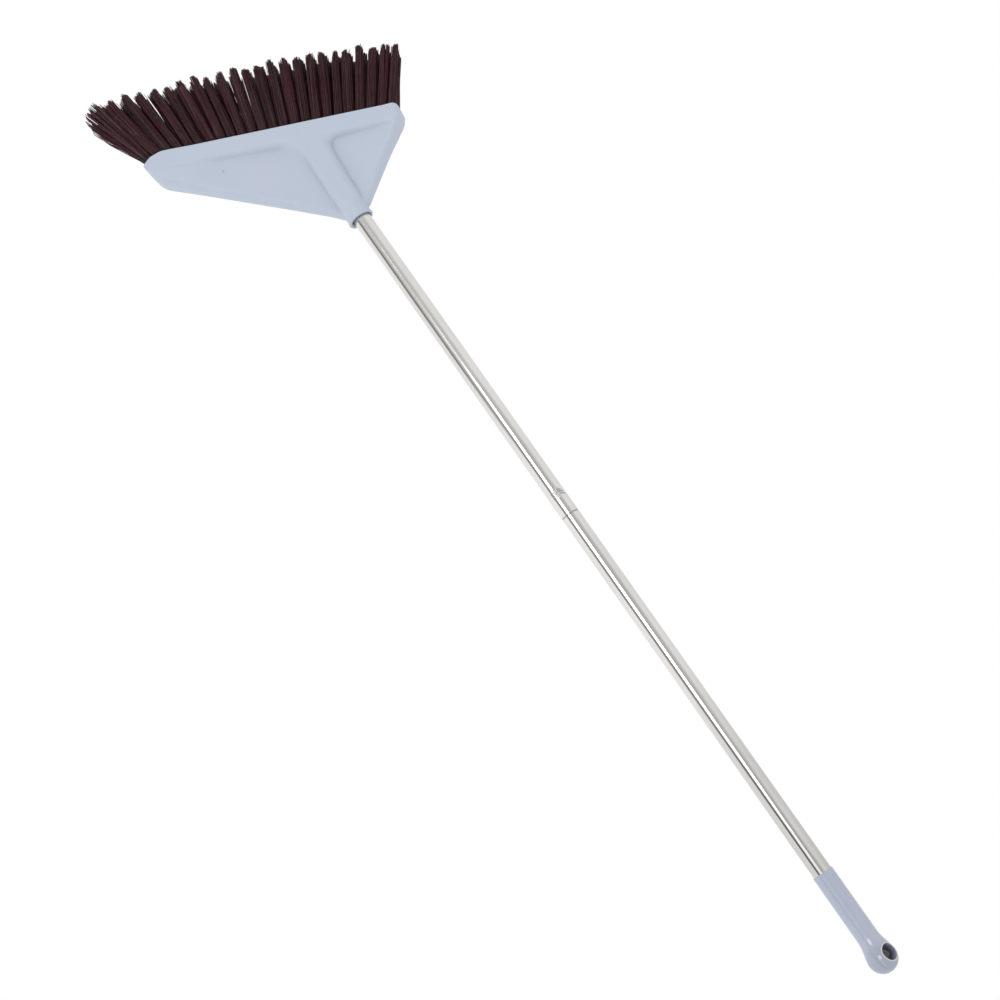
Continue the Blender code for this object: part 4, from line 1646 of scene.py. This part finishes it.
@dataclass(frozen=True)
class Stroke:
    """One stroke that is punched into a tube.

    Attributes:
        middle: its place in degrees round the tube, from the head's face towards its short side.
        level: its height on the handle's axis.
        lean: its slope, in radians.
        long: half its length.
        wide: half its width.
        depth: how deep it is.
    """

    middle: float
    level: float
    lean: float
    long: float
    wide: float
    depth: float

    def depth_at(self, radius: float, angle: float, height: float) -> float:
        """Measures the stroke at a place on a tube.

        Args:
            radius: the tube's radius.
            angle: degrees round the tube.
            height: the height on the handle's axis.

        Returns:
            How deep the stroke is there.
        """
        across, up = math.radians(angle - self.middle) * radius, height - self.level
        along = across * math.cos(self.lean) + up * math.sin(self.lean)
        aside = -across * math.sin(self.lean) + up * math.cos(self.lean)
        return self.depth * math.exp(-((along / self.long) ** 4) - (aside / self.wide) ** 2)


@dataclass
class SteelHandle:
    """The two steel tubes and the ring at their seam, with the punched marks under it.

    Attributes:
        level_gap: how far apart the rings of points are where the marks are punched.
        full_shade_depth: the depth at which a mark's painted shade is full.
        rubbed_patch: the angle and height of the rubbed steel round them, and half its width and height.
    """

    radius: float = 9.5
    wall: float = 0.6
    length: float = 440.0
    upper_top: float = -64.4
    lower_top: float = -505.7
    ring_top: float = -504.65
    ring_height: float = 0.8
    ring_wall: float = 1.9
    ring_inset: float = 0.25
    lip: float = 0.25
    segments: int = 128
    marks_top: float = -521.0
    marks_bottom: float = -541.0
    level_gap: float = 0.4
    strokes: tuple = (
        Stroke(42, -526.6, 0.4, 3.0, 0.55, 0.35), Stroke(39, -529.4, 0.4, 3.4, 0.6, 0.4),
        Stroke(33, -532.0, 0.4, 2.6, 0.55, 0.3), Stroke(28, -534.3, 0.3, 1.8, 0.5, 0.12),
        Stroke(2, -533.8, -0.9, 1.5, 0.5, 0.16), Stroke(2, -530.9, -0.8, 1.7, 0.5, 0.16),
        Stroke(4, -528.6, -0.8, 1.7, 0.5, 0.16), Stroke(6, -526.3, -0.5, 1.3, 0.45, 0.12),
        Stroke(-20, -530.7, 0.2, 1.3, 0.9, 0.08), Stroke(-19, -527.6, 0.2, 1.2, 0.7, 0.10),
        Stroke(-21, -524.8, 0.2, 1.1, 0.6, 0.08), Stroke(-7, -531.6, 0.4, 1.6, 0.45, 0.13),
        Stroke(-8, -529.0, 0.4, 1.7, 0.45, 0.14), Stroke(-6, -526.4, 0.4, 1.5, 0.45, 0.12),
        Stroke(14, -532.3, 0.4, 2.2, 0.45, 0.14), Stroke(18, -529.6, 0.4, 2.4, 0.45, 0.15),
        Stroke(20, -527.0, 0.4, 2.0, 0.45, 0.13),
    )
    full_shade_depth: float = 0.22
    rubbed_patch: tuple = (13.0, -529.3, 27.0, 5.2)

    def tube(self, name: str, top: float, levels: Sequence[float] = ()) -> Piece:
        """Turns one tube with softened ends.

        Args:
            name: the piece's name.
            top: the height of its top end.
            levels: the heights of extra rings of points on its outside.

        Returns:
            The tube.
        """
        bottom, inner = top - self.length, self.radius - self.wall
        profile = [
            (self.radius - self.lip, top), (self.radius, top - self.lip),
            *((self.radius, level) for level in levels), (self.radius, bottom + self.lip),
            (self.radius - self.lip, bottom), (inner, bottom), (inner, top),
        ]
        return turned(name, profile, self.segments)

    def ring(self) -> Piece:
        """Turns the ring at the seam."""
        low, high = self.ring_top - self.ring_height, self.ring_top
        inner, outer = self.radius - self.ring_wall, self.radius - self.ring_inset
        profile = [(inner, high), (outer - self.lip, high), (outer, high - self.lip),
                   (outer, low + self.lip), (outer - self.lip, low), (inner, low)]
        return turned("seam_band", profile, self.segments)

    def rub(self, angle: float, height: float) -> float:
        """Returns how rubbed the steel is at a place round the punched marks."""
        middle, level, wide, high = self.rubbed_patch
        return math.exp(-((angle - middle) / wide) ** 4 - ((height - level) / high) ** 4)

    def punch(self, piece: Piece) -> None:
        """Presses the marks into a tube's wall, and notes how much painted shade darkens them and where the
        steel is rubbed.

        Args:
            piece: the lower tube.
        """
        grime_and_shade, rubbed = (piece.data.attributes.new(name, "FLOAT", "POINT")
                         for name in (PolishedSteel.dented, PolishedSteel.rubbed))
        for vert in piece.data.vertices:
            height = vert.co.z / MM
            radius = math.hypot(vert.co.x, vert.co.y) / MM
            if self.marks_bottom < height < self.marks_top and radius > self.radius - self.lip / 2:
                angle = math.degrees(math.atan2(-vert.co.x, -vert.co.y))
                deep = max(stroke.depth_at(self.radius, angle, height) for stroke in self.strokes)
                grime_and_shade.data[vert.index].value = min(deep / self.full_shade_depth, 1.0)
                rubbed.data[vert.index].value = self.rub(angle, height)
                share = 1 - deep / radius
                vert.co.x *= share
                vert.co.y *= share

    def build(self, finish: Finish) -> list[Piece]:
        """Builds the upper tube, the seam ring and the lower tube.

        Args:
            finish: the steel.

        Returns:
            The three pieces, each in place of its CAD node.
        """
        upper = self.tube("upper_steel_tube", self.upper_top)
        levels = np.arange(self.marks_top, self.marks_bottom, -self.level_gap)
        lower = self.tube("lower_steel_tube", self.lower_top, levels)
        self.punch(lower)
        made = ((upper, Body.UPPER, "upper_tube"), (self.ring(), Body.RING, "seam_ring"),
                (lower, Body.LOWER, "lower_tube"))
        for piece, _, _ in made:
            smooth(piece, 30)
        return [dressed(piece, finish, body, Slot.STEEL, node) for piece, body, node in made]


@dataclass
class HangingGrip:
    """The grip: a sleeve over the tube's top that swells to a bulb with the hanging hole.

    Attributes:
        swell: the (radius, height) points that the bulb's section flows through.
        beyond: how far the section reaches past the axis, so that the top closes smoothly.
        room: the lowest and the highest corner of the room that holds the grip.
    """

    sleeve: float = 10.5
    mouth: float = -91.3
    mouth_round: float = 0.8
    bore: float = 9.6
    bore_end: float = -65.2
    bore_edge: float = 0.4
    swell: tuple = (
        (10.5, -26.0), (10.52, -21.8), (10.85, -18.2), (11.45, -14.7), (12.25, -11.2), (13.15, -7.7),
        (14.0, -4.2), (14.5, -0.7), (14.3, 2.8), (13.2, 6.2), (11.0, 9.6), (7.4, 12.6), (3.6, 14.1),
        (0.0, 14.5),
    )
    swell_steps: int = 5
    beyond: float = 2.0
    hole_radius: float = 7.9
    hole_height: float = -1.4
    hole_turn: float = -47.0
    hole_edge: float = 1.3
    room: tuple = ((-15.7, -15.7, -92.6), (15.7, 15.7, 15.6))
    cell: float = 0.42
    relaxings: int = 2
    outline: list = field(init=False)

    def __post_init__(self) -> None:
        """Draws the section's outline."""
        side = [(self.sleeve, self.mouth), *flowing(self.swell, self.swell_steps)]
        self.outline = [(-self.beyond, self.mouth), *side, (-self.beyond, self.swell[-1][1])]

    def form(self, across: Array, deep: Array, rise: Array) -> Array:
        """Measures the grip in the part's frame.

        Args:
            across: the place's first coordinate.
            deep: its second coordinate.
            rise: its height.

        Returns:
            The distance from the grip, with its bore and hole cut.
        """
        radius = np.hypot(across, deep)
        body = outline_distance(radius, rise, self.outline)
        body = -blended(-body, rise - self.mouth, self.mouth_round)
        bore = np.maximum(radius - self.bore, rise - self.bore_end)
        turn = math.radians(self.hole_turn)
        aside = across * math.cos(turn) + deep * math.sin(turn)
        hole = np.hypot(aside, rise - self.hole_height) - self.hole_radius
        return cut_away(cut_away(body, bore, self.bore_edge), hole, self.hole_edge)

    def hole_shade(self) -> HoleShade:
        """Returns the painted shade in the hanging hole and the painted highlight round its rim."""
        return HoleShade(self.hole_turn, self.hole_height, self.hole_radius)

    def build(self, finish: Finish) -> Piece:
        """Builds the grip as one piece.

        Args:
            finish: the glossy plastic.

        Returns:
            The grip, in place of its CAD node.
        """
        net = Net(self.form, *self.room, self.cell, self.relaxings)
        piece = net.piece("hanging_grip", Matrix.Identity(4))
        return dressed(piece, finish, Body.UPPER, Slot.GRIP, "grip")


@dataclass
class InnerPieces:
    """The plugs, the nut and the washer, which stay as the CAD has them.

    Attributes:
        plastic: the nodes of insert plastic.
        rubber: the nodes of rubber.
    """

    plastic: tuple = ("joint_stud", "joint_nut", "socket_ferrule")
    rubber: tuple = ("socket_washer",)

    def dress(self, insert: Finish, rubber: Finish) -> list[Piece]:
        """Gives each piece its finish.

        Args:
            insert: the insert plastic.
            rubber: the washer's rubber.

        Returns:
            The pieces.
        """
        made = []
        for names, finish, slot in ((self.plastic, insert, Slot.INSERT), (self.rubber, rubber, Slot.RUBBER)):
            for name in names:
                node = frame["nodes"][name]
                for place in node.material_slots:
                    place.material = finish
                made.append(node)
        return made


@dataclass
class Studio:
    """A white room round the broom, with the bands that its steel mirrors, a floor and a soft lamp.

    Bands are (degrees, brightness) pairs round the handle, from the front towards its short side. Places and
    sizes here are in metres.

    Attributes:
        near_bands: what glossy rays see that rise or run level.
        middle_bands: what they see where they fall.
        far_bands: what they see where they fall steeply.
        middle_span: the rises between which far bands turn into middle ones.
        near_span: the rises between which middle bands turn into near ones.
        lens: the camera's focal length, in millimetres like its sensor.
        view_right: the way to the right of its picture.
        view_back: the way back from the broom to it.
    """

    floor_height: float = -1.181
    floor_size: float = 30.0
    bright_side: tuple = (0.62, -0.75, -0.22)
    ambient: float = 1.06
    contrast: float = 0.12
    front_loss: float = 0.27
    near_bands: tuple = (
        (-180, 0.78), (-60, 0.79), (-57, 0.77), (-52, 0.17), (-34, 0.12), (-28, 1.0), (-9, 1.0), (-1, 0.36),
        (10, 0.44), (28, 0.68), (44, 0.80), (75, 0.70), (106, 0.66), (180, 0.64),
    )
    middle_bands: tuple = (
        (-180, 0.95), (-64, 0.99), (-57, 0.96), (-50, 0.30), (-27, 0.26), (-21, 5.0), (-6, 6.0), (0, 0.52),
        (24, 0.50), (38, 0.62), (60, 0.88), (90, 0.86), (180, 0.80),
    )
    far_bands: tuple = (
        (-180, 0.95), (-80, 0.93), (-74, 1.00), (-68, 0.26), (-50, 0.22), (-41, 0.58), (-28, 0.67),
        (-5, 0.66), (17, 0.60), (32, 0.72), (44, 0.86), (60, 0.88), (100, 0.86), (180, 0.84),
    )
    middle_span: tuple = (-0.335, -0.26)
    near_span: tuple = (-0.15, 0.02)
    lamp_place: tuple = (0.7, -1.7, -1.6)
    lamp_target: tuple = (0.0, 0.0, -0.95)
    lamp_size: float = 1.4
    lamp_power: float = 3.0
    lens: float = 61.2
    sensor: float = 36.0
    clip: tuple = (0.05, 100.0)
    view_place: tuple = (0.0, -1.6359, -0.1361)
    view_right: tuple = (-0.8172963, 0.1669974, 0.5514876)
    view_back: tuple = (-0.0288393, -0.9677377, 0.2503037)

    def bands(self, sheet: Sheet, angle: Socket, stops: tuple) -> Socket:
        """Lays bands round the handle.

        Args:
            sheet: the world's sheet.
            angle: the angle as a share of the full turn.
            stops: (degrees, brightness) pairs in order.

        Returns:
            The bands' brightness as a colour.
        """
        ramp = sheet.node("ValToRGB", Fac=angle)
        elements = ramp.color_ramp.elements
        while len(elements) < len(stops):
            elements.new(0.5)
        for element, (degrees, value) in zip(elements, stops):
            element.position = (degrees + 180) / 360
            element.color = shade(value)
        return ramp.outputs[0]

    def mirrored(self, sheet: Sheet, turn: Socket, rise: Socket) -> Socket:
        """Makes what glossy rays see.

        Args:
            sheet: the world's sheet.
            turn: the ray's angle round the handle, in radians.
            rise: how steeply it rises, which is negative where it falls.

        Returns:
            The brightness as a colour.
        """
        share = sheet.maths("MULTIPLY_ADD", turn, 1 / math.tau, 0.5)
        far, middle, near = (self.bands(sheet, share, stops)
                             for stops in (self.far_bands, self.middle_bands, self.near_bands))
        bands = sheet.mixed(sheet.ranged(rise, self.middle_span), far, middle)
        return sheet.mixed(sheet.ranged(rise, self.near_span), bands, near)

    def build_world(self) -> None:
        """Builds the room: white for the camera, soft for matt faces and banded for glossy ones."""
        world = bpy.data.worlds.new("white_room")
        bpy.context.scene.world = world
        world.use_nodes = True
        sheet = Sheet(world.node_tree)
        way = sheet.node("TexCoord").outputs["Generated"]
        across, deep, rise = sheet.node("SeparateXYZ", Vector=way).outputs
        towards = sheet.product(deep, -1.0)
        turn = sheet.maths("ARCTAN2", sheet.product(across, -1.0), towards)
        facing = sheet.measured("DOT_PRODUCT", way, self.bright_side)
        front = sheet.maths("MAXIMUM", towards, 0.0)
        soft = sheet.maths("SUBTRACT", sheet.maths("MULTIPLY_ADD", facing, self.contrast, self.ambient),
                           sheet.product(front, front, self.front_loss))
        path = sheet.node("LightPath").outputs
        room = sheet.mixed(path["Is Glossy Ray"], soft, self.mirrored(sheet, turn, rise))
        room = sheet.mixed(path["Is Camera Ray"], room, shade(1.0))
        sheet.feed(world.node_tree.nodes["Background"].inputs["Color"], room)

    def build_floor(self, finish: Finish) -> None:
        """Builds the floor.

        Args:
            finish: its white.
        """
        bpy.ops.mesh.primitive_grid_add(x_subdivisions=8, y_subdivisions=8, size=self.floor_size,
                                        location=(0, 0, self.floor_height))
        floor = settle(named("studio_floor"))
        floor.data.materials.append(finish)
        floor.visible_glossy = floor.visible_diffuse = floor.visible_shadow = False

    def build_lamp(self) -> None:
        """Builds the soft lamp, which nothing mirrors."""
        light = bpy.data.lights.new("key", "AREA")
        light.shape = "DISK"
        light.size, light.energy = self.lamp_size, self.lamp_power
        lamp = bpy.data.objects.new("key", light)
        bpy.context.scene.collection.objects.link(lamp)
        lamp.location = self.lamp_place
        lamp.rotation_mode = "QUATERNION"
        way = Vector(self.lamp_target) - Vector(self.lamp_place)
        lamp.rotation_quaternion = way.to_track_quat("-Z", "Y")
        lamp.visible_camera = lamp.visible_glossy = False

    def build_camera(self) -> None:
        """Sets the camera where the photograph was taken from, rolled as it was."""
        data = bpy.data.cameras.new("photograph_view")
        data.lens, data.sensor_width = self.lens, self.sensor
        data.clip_start, data.clip_end = self.clip
        camera = bpy.data.objects.new("photograph_view", data)
        bpy.context.scene.collection.objects.link(camera)
        right, back = Vector(self.view_right), Vector(self.view_back)
        turn = Matrix((right, back.cross(right), back)).transposed().to_4x4()
        camera.matrix_world = Matrix.Translation(self.view_place) @ turn
        bpy.context.scene.camera = camera

    def build(self, finish: Finish) -> None:
        """Builds the room, its floor, its lamp and the camera.

        Args:
            finish: the floor's white.
        """
        self.build_world()
        self.build_floor(finish)
        self.build_lamp()
        self.build_camera()
        settings = bpy.context.scene.view_settings
        settings.view_transform = "Standard"
        settings.look = "None"


def main() -> None:
    """Builds the broom from the head up to the grip, and the studio round it."""
    logging.basicConfig(level=logging.INFO, format="%(name)s %(message)s")
    Effects().build()
    head, grip = HeadShell(), HangingGrip()
    satin = MouldedPlastic(
        "satin_blue_grey_plastic", (0.466, 0.522, 0.622, 1.0), (0.48, 0.532, 0.628, 1.0),
        roughness=(0.42, 0.5), grain=0.02, broad=0.6, speck=(91.0, -10.5, -1024.4))
    glossy = MouldedPlastic(
        "glossy_blue_grey_plastic", (0.400, 0.440, 0.540, 1.0), (0.425, 0.462, 0.560, 1.0),
        roughness=(0.07, 0.09), grain=0.0003, broad=0.95, gloss=0.45, scratched=0.01,
        hole=grip.hole_shade(), painted_shade_span=(-22.0, -4.0))
    insert = DullPolymer("grey_insert_plastic", (0.60, 0.60, 0.58, 1.0), (0.55, 0.55, 0.54, 1.0))
    rubber = DullPolymer("black_washer_rubber", shade(0.03), shade(0.05), roughness=(0.7, 0.85))
    # The backing is dark as painted shade at the tufts' roots.
    backing = DullPolymer("backing_plastic_dark_as_painted_shade", (0.05, 0.045, 0.047, 1.0), (0.07, 0.06, 0.062, 1.0))
    report(head.build(satin.make()))
    report(*TuftedBlock(head).build(BristleFilament().make(), backing.make()))
    report(*SteelHandle().build(PolishedSteel().make()))
    report(grip.build(glossy.make()))
    report(*InnerPieces().dress(insert.make(), rubber.make()))
    Studio().build(StudioWhite().make())


if __name__ == "__main__":
    main()
